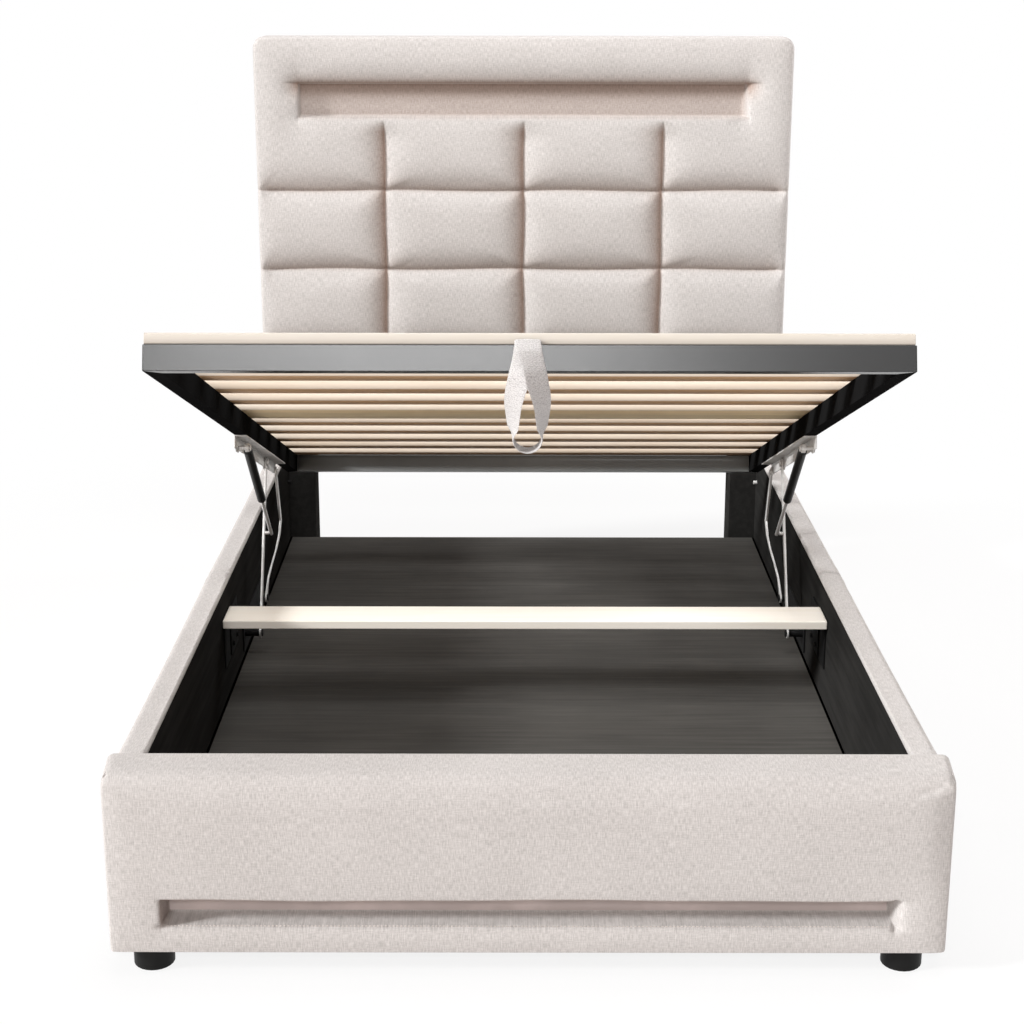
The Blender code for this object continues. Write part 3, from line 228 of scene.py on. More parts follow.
class Graph(Nodes):
    """A material under construction."""

    def __init__(self, name: str) -> None:
        """Starts a material with one Principled shader.

        Args:
            name: name of the material.
        """
        self.material = bpy.data.materials.new(name)
        self.material.use_nodes = True
        super().__init__(self.material.node_tree)
        self.shader = self.tree.nodes["Principled BSDF"]

    def place(self) -> bpy.types.NodeSocket:
        """Position in the bed's own frame."""
        return self.make("ShaderNodeTexCoord").outputs["Object"]

    def cloth_place(self) -> bpy.types.NodeSocket:
        """Position on the cloth, in metres, from the piece's own map."""
        return self.make("ShaderNodeUVMap", {"uv_map": CLOTH_MAP}).outputs["UV"]

    def split(self, vector: bpy.types.NodeSocket) -> list[Num]:
        """The three parts of a vector."""
        node = self.make("ShaderNodeSeparateXYZ", None, {0: vector})
        return [Num(self, out) for out in node.outputs]

    def stretched(self, vector: bpy.types.NodeSocket, scale: Colour,
                  shift: Colour = (0, 0, 0)) -> bpy.types.NodeSocket:
        """A vector scaled and moved by axis."""
        node = self.make("ShaderNodeMapping", None, {"Vector": vector, "Scale": scale, "Location": shift})
        return node.outputs[0]

    def noise(self, vector: bpy.types.NodeSocket, scale: float, detail: float = 2, rough: float = 0.5,
              twist: float = 0) -> Num:
        """Cloudy noise from 0 to 1.

        Args:
            vector: where to read it.
            scale: cells per unit.
            detail: number of finer layers.
            rough: strength of the finer layers.
            twist: distortion.

        Returns:
            The noise value.
        """
        node = self.make("ShaderNodeTexNoise", None, {"Vector": vector, "Scale": scale, "Detail": detail,
                                                      "Roughness": rough, "Distortion": twist})
        return Num(self, node.outputs["Fac"])

    def blend(self, share: "Num | float", first: object, second: object,
              way: str = "MIX") -> bpy.types.NodeSocket:
        """Mixes two colours.

        Args:
            share: 0 gives the first colour and 1 the second.
            first: a colour or a socket.
            second: a colour or a socket.
            way: blending mode.

        Returns:
            The mixed colour.
        """
        node = self.make("ShaderNodeMix", {"data_type": "RGBA", "blend_type": way},
                         {0: share, 6: first, 7: second})
        return node.outputs[2]

    def dent(self, height: Num, strength: float, distance: float) -> bpy.types.NodeSocket:
        """A bump from a height.

        Args:
            height: height from 0 to 1.
            strength: share of the bump used.
            distance: metres between height 0 and 1.

        Returns:
            The bent normal.
        """
        sockets = {"Height": height, "Strength": strength, "Distance": distance}
        return self.make("ShaderNodeBump", None, sockets).outputs[0]

    def surface(self, **sockets: object) -> bpy.types.Material:
        """Sets the shader's inputs.

        Args:
            sockets: values or outputs by input, with underscores for spaces.

        Returns:
            The material.
        """
        for key, value in sockets.items():
            self.join(self.shader.inputs[key.replace("_", " ")], value)
        return self.material


# ---------------------------------------------------------------- finishes
@dataclass(frozen=True)
class LinenFinish:
    """Woven linen-look upholstery with slubbed upright threads; a mesh attribute darkens and browns it as
    painted shade in grooves, under rolls and in niches.
    """

    name: str
    light: Colour = (0.625, 0.605, 0.592)
    dark: Colour = (0.34, 0.325, 0.315)
    thread: float = 0.0011
    warp: Colour = (600, 80, 1)      # noise cells for each metre of cloth
    weft: Colour = (90, 600, 1)
    fluff: Colour = (950, 800, 1)
    clouds: float = 6.0
    bump: float = 0.00022
    # painted shade: how strongly the shade attribute darkens the colour, and the brown it darkens towards
    gloom: float = 0.85
    painted_shade_tint: Colour = (0.54, 0.43, 0.38)

    def material(self) -> bpy.types.Material:
        """Builds the material.

        Returns:
            The material.
        """
        g = Graph(self.name)
        cloth = g.cloth_place()
        u, v, _ = g.split(cloth)
        warp = g.noise(g.stretched(cloth, self.warp), 1, 2, 0.55)
        weft = g.noise(g.stretched(cloth, self.weft, (3, 7, 0)), 1, 2, 0.55)
        fine = g.noise(g.stretched(cloth, self.fluff, (9, 2, 0)), 1, 1, 0.6)
        clouds = g.noise(g.stretched(cloth, WHITE, (1, 4, 0)), self.clouds, 3, 0.55)
        weave = (u * (math.pi / self.thread)).sine() * (v * (math.pi / self.thread)).sine()
        tone = (warp - 0.5) * 1.8 + (weft - 0.5) * 1.1 + (fine - 0.5) * 0.7
        share = (tone + (clouds - 0.5) * 0.35 + 0.42).eased(-0.45, 1.35)
        woven = g.blend(share, self.light, self.dark)
        # painted shade: darkens the woven colour towards the brown tint where the mesh marks the cloth as
        # shut in
        painted_shade_share = g.make("ShaderNodeAttribute", {"attribute_name": PAINTED_SHADE}).outputs["Fac"]
        colour = g.blend(Num(g, painted_shade_share) * self.gloom, woven, g.blend(1.0, woven, self.painted_shade_tint, "MULTIPLY"))
        height = warp * 0.45 + weft * 0.3 + weave * 0.12 + fine * 0.35
        return g.surface(Base_Color=colour, Roughness=0.92, Specular_IOR_Level=0.25, Sheen_Weight=0.22,
                         Sheen_Roughness=0.45, Sheen_Tint=(0.95, 0.93, 0.91),
                         Normal=g.dent(height, 0.35, self.bump))


@dataclass(frozen=True)
class WebbingFinish:
    """Woven strap webbing with a visible slanting weave."""

    name: str
    light: Colour = (0.575, 0.565, 0.56)
    dark: Colour = (0.32, 0.31, 0.31)
    rib: float = 0.0017
    zigzag: float = 0.0033
    fleck: Colour = (430, 300, 1)    # noise cells for each metre of cloth
    bump: float = 0.0006

    def material(self) -> bpy.types.Material:
        """Builds the material.

        Returns:
            The material.
        """
        g = Graph(self.name)
        cloth = g.cloth_place()
        u, v, _ = g.split(cloth)
        zig = g.math("PINGPONG", u * (1 / self.zigzag), 1.0)
        lines = ((v * (1 / self.rib) + zig * 1.3) * math.pi).sine()
        fleck = g.noise(g.stretched(cloth, self.fleck), 1, 3, 0.65)
        share = (lines * 0.20 + (fleck - 0.5) * 2.8 + 0.32).eased(-0.1, 1.1)
        height = lines * 0.4 + fleck * 0.5
        return g.surface(Base_Color=g.blend(share, self.light, self.dark), Roughness=0.88,
                         Sheen_Weight=0.15, Sheen_Roughness=0.4, Specular_IOR_Level=0.3,
                         Normal=g.dent(height, 0.6, self.bump))


class GrainWay(Enum):
    """Direction in which the timber's fibres run."""

    ALONG_X = (5.0, 95.0, 95.0)


@dataclass(frozen=True)
class TimberFinish:
    """Planed pale timber with fine grain; its faces that point down like the raised platform's underside
    may get a painted underside colour that stands in for the light and shade they get.
    """

    name: str
    light: Colour = (0.66, 0.58, 0.49)
    dark: Colour = (0.55, 0.45, 0.345)
    under: Colour = (0.60, 0.37, 0.20)
    # painted underside colour, and how much of it the faces that point down get
    painted_under_share: float = 0.0
    way: GrainWay = GrainWay.ALONG_X
    facing: Colour = (0, -0.335, -0.942)      # where the raised platform's underside faces
    bump: float = 0.0005

    def material(self) -> bpy.types.Material:
        """Builds the material.

        Returns:
            The material.
        """
        g = Graph(self.name)
        place = g.place()
        fibres = g.noise(g.stretched(place, self.way.value), 1, 4, 0.62, 0.2)
        long = tuple(v * 0.16 for v in self.way.value)
        bands = g.noise(g.stretched(place, long, (3, 5, 2)), 1, 3, 0.55, 0.6)
        pores = g.noise(g.stretched(place, tuple(v * 5 for v in self.way.value)), 1, 2, 0.5)
        tone = (fibres * 0.55 + bands * 0.75 - 0.15).eased(0.28, 0.85)
        colour = g.blend(tone, self.light, self.dark)
        # painted underside colour on faces that point like the raised platform's underside
        if self.painted_under_share:
            normal = g.make("ShaderNodeNewGeometry").outputs["Normal"]
            toward = g.make("ShaderNodeVectorMath", {"operation": "DOT_PRODUCT"},
                            {0: normal, 1: self.facing})
            down = Num(g, toward.outputs["Value"]).eased(0.75, 0.95) * self.painted_under_share
            painted_under_tone = g.blend(tone, self.under, tuple(c * 0.72 for c in self.under))
            colour = g.blend(down, colour, painted_under_tone)
        return g.surface(Base_Color=colour, Roughness=0.46 + fibres * 0.14, Specular_IOR_Level=0.4,
                         Normal=g.dent(pores * 0.5 + fibres * 0.5, 0.3, self.bump))


@dataclass(frozen=True)
class BoardFinish:
    """Black laminated board with a faint wood emboss, light handling marks, and a painted shade line along
    two sides where it meets the walls.
    """

    name: str
    colour: Colour = (0.018, 0.0178, 0.0172)
    worn: Colour = (0.032, 0.0312, 0.0300)
    rough: float = 0.58
    stretch: Colour = (90, 4, 60)
    level: float = 0.0
    rim: float = 9.0                 # half width at which a painted shade line lies, standing for the shade in the corner against the wall
    line: tuple[float, float] = (0.006, 0.004)

    def material(self) -> bpy.types.Material:
        """Builds the material.

        Returns:
            The material.
        """
        g = Graph(self.name)
        place = g.place()
        x, _, _ = g.split(place)
        grain = g.noise(g.stretched(place, self.stretch), 1, 4, 0.6)
        marks = g.noise(place, 2.3, 5, 0.6)
        share = (grain * 0.5 + marks * 0.5).eased(0.35, 0.75)
        dusty = g.blend(share, self.colour, self.worn)
        # painted shade: blackens a thin line along both sides, in the corner where the floor meets the wall
        # linings
        painted_corner_shade = abs(x).eased(self.rim - self.line[0], self.rim - self.line[1])
        return g.surface(Base_Color=g.blend(painted_corner_shade, dusty, (0, 0, 0)),
                         Roughness=self.rough + (marks - 0.5) * 0.10 + (grain - 0.5) * 0.08,
                         Specular_IOR_Level=self.level, Normal=g.dent(grain, 0.12, 0.0006))


@dataclass(frozen=True)
class PowderCoatFinish:
    """Black powder-coated steel with orange-peel texture."""

    name: str
    colour: Colour = (0.014, 0.014, 0.0142)
    rough: float = 0.26
    level: float = 0.5

    def material(self) -> bpy.types.Material:
        """Builds the material.

        Returns:
            The material.
        """
        g = Graph(self.name)
        place = g.place()
        peel = g.noise(place, 420, 2, 0.5)
        dust = g.noise(place, 6, 4, 0.6)
        colour = g.blend(dust.eased(0.45, 0.85), self.colour, tuple(c * 1.3 + 0.001 for c in self.colour))
        return g.surface(Base_Color=colour, Roughness=self.rough + (dust - 0.5) * 0.05,
                         Specular_IOR_Level=self.level, Normal=g.dent(peel, 0.12, 0.0005))


@dataclass(frozen=True)
class ZincFinish:
    """Bright zinc-plated steel with faint spangle and rolling lines."""

    name: str
    colour: Colour = (0.74, 0.735, 0.72)
    shade: Colour = (0.55, 0.545, 0.535)
    rough: float = 0.40
    metal: float = 0.35
    level: float = 0.5

    def material(self) -> bpy.types.Material:
        """Builds the material.

        Returns:
            The material.
        """
        g = Graph(self.name)
        place = g.place()
        patches = g.noise(place, 55, 4, 0.65)
        lines = g.noise(g.stretched(place, (700, 25, 700)), 1, 2, 0.5)
        tone = (patches * 0.7 + lines * 0.3).eased(0.35, 0.75)
        return g.surface(Base_Color=g.blend(tone, self.colour, self.shade), Metallic=self.metal,
                         Specular_IOR_Level=self.level,
                         Roughness=self.rough + patches * 0.16, Normal=g.dent(lines, 0.1, 0.0003))


@dataclass(frozen=True)
class PlasticFinish:
    """Moulded plastic with a fine texture."""

    name: str
    colour: Colour = (0.018, 0.018, 0.018)
    rough: float = 0.42
    grit: float = 900
    level: float = 0.5

    def material(self) -> bpy.types.Material:
        """Builds the material.

        Returns:
            The material.
        """
        g = Graph(self.name)
        place = g.place()
        grit = g.noise(place, self.grit, 2, 0.5)
        haze = g.noise(place, 14, 3, 0.55)
        colour = g.blend(haze.eased(0.35, 0.8), self.colour, tuple(c * 1.25 for c in self.colour))
        return g.surface(Base_Color=colour, Roughness=self.rough + (haze - 0.5) * 0.14,
                         Specular_IOR_Level=self.level, Normal=g.dent(grit, 0.15, 0.0003))


# ---------------------------------------------------------------- mesh helpers
def smooth(value: Numbers) -> Numbers:
    """Eases numbers from 0 to 1."""
    t = np.clip(value, 0, 1)
    return t * t * (3 - 2 * t)


def rise(value: Numbers, start: float, reach: float) -> Numbers:
    """Rises smoothly from 0 at the start to 1 a reach further."""
    return smooth((value - start) / reach)


def fade(value: Numbers, reach: float) -> Numbers:
    """Falls smoothly from 1 at 0 to 0 at the reach."""
    return smooth(1 - value / reach)


def bell(distance: Numbers, width: float) -> Numbers:
    """A bell curve, 1 at no distance."""
    return np.exp(-(distance / width) ** 2)


def slack(distance: np.ndarray, depth: Numbers, reach: float) -> np.ndarray:
    """How far slack cloth falls back, most at no distance and nothing at the reach."""
    return depth * np.clip(1 - distance / reach, 0, 1) ** 2


def new_object(name: str, points: np.ndarray, faces: Sequence[Sequence[int]],
               closed: bool = True) -> bpy.types.Object:
    """Makes a mesh object at the origin.

    Args:
        name: name of the object and its mesh.
        points: corner positions in metres.
        faces: corner numbers of each face.
        closed: turns the faces of a closed body outward; an open one keeps its own order.

    Returns:
        The object.
    """
    mesh = bpy.data.meshes.new(name)
    mesh.from_pydata([tuple(map(float, p)) for p in points], [], [tuple(int(i) for i in f) for f in faces])
    if closed:
        bm = bmesh.new()
        bm.from_mesh(mesh)
        bmesh.ops.recalc_face_normals(bm, faces=bm.faces)
        if bm.calc_volume(signed=True) < 0:
            bmesh.ops.reverse_faces(bm, faces=bm.faces)
        bm.to_mesh(mesh)
        bm.free()
    obj = bpy.data.objects.new(name, mesh)
    bpy.context.scene.collection.objects.link(obj)
    return obj


def shade_smooth(obj: bpy.types.Object, angle: float = 180) -> None:
    """Shades a mesh smooth.

    Args:
        obj: the mesh object.
        angle: creases above this many degrees are left.
    """
    mesh = obj.data
    mesh.polygons.foreach_set("use_smooth", [True] * len(mesh.polygons))
    if angle < 180:
        mesh.set_sharp_from_angle(angle=math.radians(angle))


def plain_mesh(obj: bpy.types.Object) -> None:
    """Applies every modifier of an object.

    Args:
        obj: the mesh object.
    """
    bpy.context.view_layer.update()
    depsgraph = bpy.context.evaluated_depsgraph_get()
    mesh = bpy.data.meshes.new_from_object(obj.evaluated_get(depsgraph))
    old = obj.data
    obj.modifiers.clear()
    obj.data = mesh
    mesh.name = obj.name
    bpy.data.meshes.remove(old)


def round_off(obj: bpy.types.Object) -> None:
    """Subdivides a soft piece once and closes its open back.

    Args:
        obj: the mesh object.
    """
    subdivide = obj.modifiers.new("round", "SUBSURF")
    subdivide.levels = subdivide.render_levels = 1
    plain_mesh(obj)
    bm = bmesh.new()
    bm.from_mesh(obj.data)
    bmesh.ops.holes_fill(bm, edges=bm.edges, sides=0)
    bm.to_mesh(obj.data)
    bm.free()
    shade_smooth(obj, 60)


def finish_with(obj: bpy.types.Object, material: bpy.types.Material) -> None:
    """Gives an object one material."""
    obj.data.materials.clear()
    obj.data.materials.append(material)


def lay_cloth_map(obj: bpy.types.Object, over: Optional[tuple[float, float]] = None,
                  favour: float = 1.15, drawn: float = 0.04) -> None:
    """Maps cloth on a mesh in metres, threads upright on faces and along the piece on top.

    Args:
        obj: the padded piece.
        over: position of the front plane and height of the top that the cloth is drawn over.
        favour: how much more a face counts as front or back than as side or top.
        drawn: how far below the top the cloth starts to be drawn over it.
    """
    mesh = obj.data
    count = len(mesh.vertices)
    points = np.zeros(count * 3)
    mesh.vertices.foreach_get("co", points)
    points = points.reshape(-1, 3)
    loops = np.zeros(len(mesh.loops), int)
    mesh.loops.foreach_get("vertex_index", loops)
    normals = np.zeros(len(mesh.polygons) * 3)
    mesh.polygons.foreach_get("normal", normals)
    normals = np.abs(normals.reshape(-1, 3))
    totals = np.zeros(len(mesh.polygons), int)
    mesh.polygons.foreach_get("loop_total", totals)
    axis = np.repeat(np.argmax(normals * (1, favour, 1), axis=1), totals)
    corner = points[loops]
    x, y, z = corner[:, 0], corner[:, 1], corner[:, 2]
    climb = z if over is None else z + np.where(z > over[1] - drawn, np.maximum(y - over[0], 0), 0)
    upper = np.stack((x, y if over is None else climb), 1)
    flat = np.where((axis == 1)[:, None], np.stack((x, climb), 1),
                    np.where((axis == 0)[:, None], np.stack((y, z), 1), upper))
    layer = mesh.uv_layers.get(CLOTH_MAP) or mesh.uv_layers.new(name=CLOTH_MAP)
    layer.data.foreach_set("uv", flat.ravel())


def graded(stops: Sequence[float], fine: float, coarse: float, growth: float = 1.4) -> np.ndarray:
    """Grid lines that crowd near the stops.

    Args:
        stops: places that need a line.
        fine: first step from a stop.
        coarse: largest step.
        growth: ratio of one step to the one before.

    Returns:
        The sorted lines.
    """
    stops = sorted(set(round(s, 6) for s in stops))
    lines = [stops[0]]
    for a, b in zip(stops, stops[1:]):
        half, step, steps = (b - a) / 2, fine, []
        while sum(steps) + step < half:
            steps.append(step)
            step = min(step * growth, coarse)
        steps = np.array(steps + [max(half - sum(steps), fine / 2)])
        steps *= half / steps.sum()
        lines.extend(a + np.cumsum(steps))
        lines.extend(b - np.cumsum(steps)[::-1][1:])
        lines.append(b)
    out = np.array(sorted(lines))
    return out[np.concatenate(([True], np.diff(out) > SAME))]


def edge_fall(distance: np.ndarray, radius: Numbers) -> np.ndarray:
    """How far a rounded edge falls back at distances inside the outline."""
    inside = np.clip(radius - distance, 0, radius)
    return radius - np.sqrt(np.maximum(radius * radius - inside * inside, 0))


def rounding(sides: Sequence[tuple[np.ndarray, float]]) -> np.ndarray:
    """How far a face falls back where several rounded edges meet.

    Args:
        sides: for each edge, the distance inside it and its radius.

    Returns:
        The fall at each point.
    """
    near = [(np.clip(1 - distance / radius, 0, 1), radius) for distance, radius in sides]
    total = sum(share ** 2 for share, _ in near)
    radius = sum(share ** 2 * size for share, size in near) / np.maximum(total, TINY)
    return radius * (1 - np.sqrt(np.maximum(1 - total, 0)))


def joined(fields: Sequence[np.ndarray], sharpness: float = 4) -> np.ndarray:
    """Largest of several depths with soft joints."""
    return sum(np.maximum(f, 0) ** sharpness for f in fields) ** (1 / sharpness)


def roll(distance: np.ndarray, reach: float, depth: float) -> np.ndarray:
    """Depth of a rolled edge at distances outside it, full at the edge and zero at the reach."""
    share = np.clip(1 - np.maximum(distance, 0) / reach, 0, 1)
    return depth * (1 - np.sqrt(np.maximum(1 - share * share, 0)))


def tacked(rim: Sequence[np.ndarray], niche: Sequence[np.ndarray], over: float) -> np.ndarray:
    """Where a board's cloth is held: along its rim and in its niche.

    Args:
        rim: distances inside the board's sides.
        niche: distances inside the sides of the held area at the niche.
        over: distance over which that hold sets in.

    Returns:
        A weight from 0 to 1 for each point.
    """
    return np.maximum(smooth(np.minimum.reduce(niche) / over),
                      smooth((RIM_HELD - np.minimum.reduce(rim)) / RIM_OVER))


def swept(name: str, rings: Sequence[Sequence[Sequence[float]]]) -> bpy.types.Object:
    """Makes a closed body through rings of points that follow each other.

    Args:
        name: name of the object.
        rings: the points of each ring, of equal number.

    Returns:
        The object.
    """
    count = len(rings[0])
    last = (len(rings) - 1) * count
    faces = []
    for base in range(0, last, count):
        for i in range(count):
            j = (i + 1) % count
            faces.append((base + i, base + j, base + count + j, base + count + i))
    faces += [tuple(range(count)), tuple(range(last, last + count))]
    return new_object(name, np.concatenate([np.array(ring) for ring in rings]), faces)


@dataclass
class Swelling:
    """Cloth simulation that swells a padded piece a little between its held lines."""

    cap: float
    growth: float = 0.0
    stiff: float = 12.0
    pressure: float = 4.0
    bend: float = 0.4
    mass: float = 0.3
    quality: int = 5
    frames: int = 20

    def run(self, obj: bpy.types.Object, held: np.ndarray) -> None:
        """Simulates, caps the movement and leaves a plain mesh.

        Args:
            obj: a closed mesh.
            held: one weight for each vertex, 1 where the cloth is tacked down.
        """
        count = len(obj.data.vertices)
        before = np.zeros(count * 3)
        obj.data.vertices.foreach_get("co", before)
        group = obj.vertex_groups.new(name="held")
        for index in np.nonzero(held > 0.01)[0]:
            group.add([int(index)], float(held[index]), "REPLACE")
        modifier = obj.modifiers.new("swell", "CLOTH")
        cloth = modifier.settings
        cloth.quality = self.quality
        cloth.mass = self.mass
        cloth.tension_stiffness = self.stiff
        cloth.compression_stiffness = self.stiff
        cloth.shear_stiffness = self.stiff / 2
        cloth.bending_stiffness = self.bend
        cloth.use_pressure = True
        cloth.uniform_pressure_force = self.pressure
        cloth.shrink_min = -self.growth
        cloth.effector_weights.gravity = 0
        cloth.vertex_group_mass = group.name
        modifier.collision_settings.use_collision = False
        modifier.point_cache.frame_start = 1
        modifier.point_cache.frame_end = self.frames
        scene = bpy.context.scene
        for frame in range(1, self.frames + 1):
            scene.frame_set(frame)
        depsgraph = bpy.context.evaluated_depsgraph_get()
        after = np.zeros(count * 3)
        obj.evaluated_get(depsgraph).data.vertices.foreach_get("co", after)
        move = (after - before).reshape(-1, 3)
        length = np.linalg.norm(move, axis=1, keepdims=True)
        move *= self.cap * np.tanh(length / self.cap) / np.maximum(length, TINY)
        obj.modifiers.clear()
        obj.vertex_groups.clear()
        obj.data.vertices.foreach_set("co", (before.reshape(-1, 3) + move).ravel())
        obj.data.update()
        scene.frame_set(1)
        log.info("%s swelled by up to %.4f m", obj.name, float(np.linalg.norm(move, axis=1).max()))


@dataclass
class PaddedSlab:
    """A closed padded body: a shaped front grid, walls and a flat back."""

    half: float
    low: float
    high: float
    back: float
    corner: float
    corner_low: float = 0.0
    inset: float = 0.0               # how much narrower each side is at the front
    inset_reach: float = 0.05
    rings: tuple[float, ...] = (0.025, 0.3, 0.65, 1.0)      # shares of the depth with an edge loop

    def build(self, name: str, columns: np.ndarray, rows: np.ndarray,
              front: Callable[[np.ndarray, np.ndarray], tuple[np.ndarray, np.ndarray]], start: float
              ) -> tuple[bpy.types.Object, np.ndarray, np.ndarray]:
        """Builds the body.

        Args:
            name: name of the piece.
            columns: grid lines across.
            rows: grid lines upward.
            front: gives the front's depth and its painted shade for grids of x and z.
            start: position of the front plane.

        Returns:
            The object, the flat x and z of each front point, in vertex order.
        """
        x, z = np.meshgrid(columns, rows, indexing="ij")
        depth, gloom = front(x, z)
        y = start + depth
        px, pz = x.copy(), z.copy()
        for level, radius, way in ((self.high, self.corner, 1), (self.low, self.corner_low, -1)):
            if radius <= 0:
                continue
            dx = np.abs(x) - (self.half - radius)
            dz = way * (z - level) + radius
            at = (dx > 0) & (dz > 0)
            pull = np.where(at, np.maximum(dx, dz) / np.maximum(np.hypot(dx, dz), TINY), 1)
            px = np.where(at, np.sign(x) * (self.half - radius + dx * pull), px)
            pz = np.where(at, level + way * (dz * pull - radius), pz)
        rim = np.clip((np.abs(px) - self.half + self.inset_reach) / self.inset_reach, 0, 1)
        px -= np.sign(px) * self.inset * rim
        nx, nz = x.shape
        index = np.arange(nx * nz).reshape(nx, nz)
        cells = np.stack((index[:-1, :-1], index[1:, :-1], index[1:, 1:], index[:-1, 1:]), -1)
        faces = cells.reshape(-1, 4).tolist()
        points = np.stack((px, y, pz), -1).reshape(-1, 3)
        ring = list(index[:, 0]) + list(index[-1, 1:]) + list(index[-2::-1, -1]) + list(index[0, -2:0:-1])
        edge = points[ring]
        layers = [points]
        previous, base = ring, len(points)
        side = np.clip((np.abs(edge[:, 0]) - self.half + self.inset_reach) / (0.8 * self.inset_reach), 0, 1)
        for share in self.rings:
            layer = edge.copy()
            layer[:, 1] = edge[:, 1] + (self.back - edge[:, 1]) * share
            layer[:, 0] += np.sign(edge[:, 0]) * share * self.inset * side
            layers.append(layer)
            current = list(range(base, base + len(ring)))
            for i in range(len(ring)):
                j = (i + 1) % len(ring)
                faces.append((previous[j], previous[i], current[i], current[j]))
            previous, base = current, base + len(ring)
        obj = new_object(name, np.concatenate(layers), faces, closed=False)
        # painted shade for the front points, stored as a mesh attribute that darkens the cloth's colour
        shade = np.zeros(len(obj.data.vertices))
        shade[:x.size] = gloom.ravel()
        obj.data.attributes.new(PAINTED_SHADE, "FLOAT", "POINT").data.foreach_set("value", shade)
        return obj, x.ravel(), z.ravel()


def dress_rigid(node: str, material: bpy.types.Material, width: float, segments: int = 2,
                angle: float = 35) -> None:
    """Replaces a rigid node by a copy with softened edges and its finish.

    Args:
        node: name of the node.
        material: its material.
        width: width of the rounding in metres.
        segments: faces across the rounding.
        angle: edges sharper than this many degrees are rounded.
    """
    source = bpy.data.objects[node]
    mesh = source.data.copy()
    mesh.materials.clear()
    mesh.polygons.foreach_set("use_smooth", [True] * len(mesh.polygons))
    for layer in list(mesh.uv_layers):
        mesh.uv_layers.remove(layer)
    bm = bmesh.new()
    bm.from_mesh(mesh)
    bmesh.ops.remove_doubles(bm, verts=bm.verts, dist=SAME)
    bmesh.ops.dissolve_limit(bm, angle_limit=math.radians(1), verts=bm.verts, edges=bm.edges)
    bm.to_mesh(mesh)
    bm.free()
    mesh.set_sharp_from_angle(angle=math.radians(angle))
    obj = bpy.data.objects.new(f"{node}.soft", mesh)
    bpy.context.scene.collection.objects.link(obj)
    bevel = obj.modifiers.new("soften", "BEVEL")
    bevel.width = width
    bevel.segments = segments
    bevel.limit_method = "ANGLE"
    bevel.angle_limit = math.radians(angle)
    bevel.use_clamp_overlap = True
    bevel.harden_normals = True
    plain_mesh(obj)
    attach(obj, source["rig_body"])
    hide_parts(node)
    finish_with(obj, material)


def dress_padded(obj: bpy.types.Object, node: str, cloth: bpy.types.Material,
                 swelling: Swelling, held: np.ndarray, over: Optional[tuple[float, float]] = None) -> None:
    """Swells and rounds a padded piece of the base and puts it in its node's place.

    Args:
        obj: the closed body.
        node: name of the node that it replaces.
        cloth: upholstery material.
        swelling: how its cloth swells.
        held: one weight for each vertex, 1 where the cloth is tacked down.
        over: position of the front plane and height of the top that the cloth is drawn over.
    """
    swelling.run(obj, held)
    round_off(obj)
    lay_cloth_map(obj, over)
    finish_with(obj, cloth)
    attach(obj, "bed_base")
    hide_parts(node)
    log.info("%s: %d vertices", obj.name, len(obj.data.vertices))


# ---------------------------------------------------------------- repeated small parts
class PartsTree(Nodes):
    """A Geometry Nodes tree under construction."""

    def __init__(self, name: str, sizes: dict[str, float]) -> None:
        """Starts a tree with named number inputs.

        Args:
            name: name of the tree.
            sizes: each input's name and value.
        """
        super().__init__(bpy.data.node_groups.new(name, "GeometryNodeTree"))
        self.tree.interface.new_socket("Geometry", in_out="INPUT", socket_type="NodeSocketGeometry")
        for key in sizes:
            self.tree.interface.new_socket(key, in_out="INPUT", socket_type="NodeSocketFloat")
        self.tree.interface.new_socket("Material", in_out="INPUT", socket_type="NodeSocketMaterial")
        self.tree.interface.new_socket("Geometry", in_out="OUTPUT", socket_type="NodeSocketGeometry")
        self.entry = self.tree.nodes.new("NodeGroupInput")
        self.exit = self.tree.nodes.new("NodeGroupOutput")
        self.sizes = sizes

    def given(self, name: str) -> bpy.types.NodeSocket:
        """A named input of the tree."""
        return self.entry.outputs[name]

    def close(self, geometry: bpy.types.NodeSocket) -> None:
        """Ends the tree in real geometry with its material.

        Args:
            geometry: what the tree has made.
        """
        real = self.make("GeometryNodeRealizeInstances", None, {0: geometry})
        dressed = self.make("GeometryNodeSetMaterial", None, {"Geometry": real.outputs[0],
                                                              "Material": self.given("Material")})
        self.join(self.exit.inputs[0], dressed.outputs[0])

    def apply(self, host: bpy.types.Object, material: bpy.types.Material) -> bpy.types.Object:
        """Runs the tree on a host and leaves a plain mesh object.

        Args:
            host: the object that carries the points or paths.
            material: material of the result.

        Returns:
            The resulting mesh object.
        """
        modifier = host.modifiers.new("parts", "NODES")
        modifier.node_group = self.tree
        for item in self.tree.interface.items_tree:
            if item.in_out != "INPUT":
                continue
            if item.name in self.sizes:
                modifier[item.identifier] = float(self.sizes[item.name])
            elif item.name == "Material":
                modifier[item.identifier] = material
        bpy.context.view_layer.update()
        depsgraph = bpy.context.evaluated_depsgraph_get()
        mesh = bpy.data.meshes.new_from_object(host.evaluated_get(depsgraph))
        name = host.name
        old = host.data
        bpy.data.objects.remove(host)
        (bpy.data.meshes if isinstance(old, bpy.types.Mesh) else bpy.data.curves).remove(old)
        obj = bpy.data.objects.new(name, mesh)
        mesh.name = name
        bpy.context.scene.collection.objects.link(obj)
        return obj


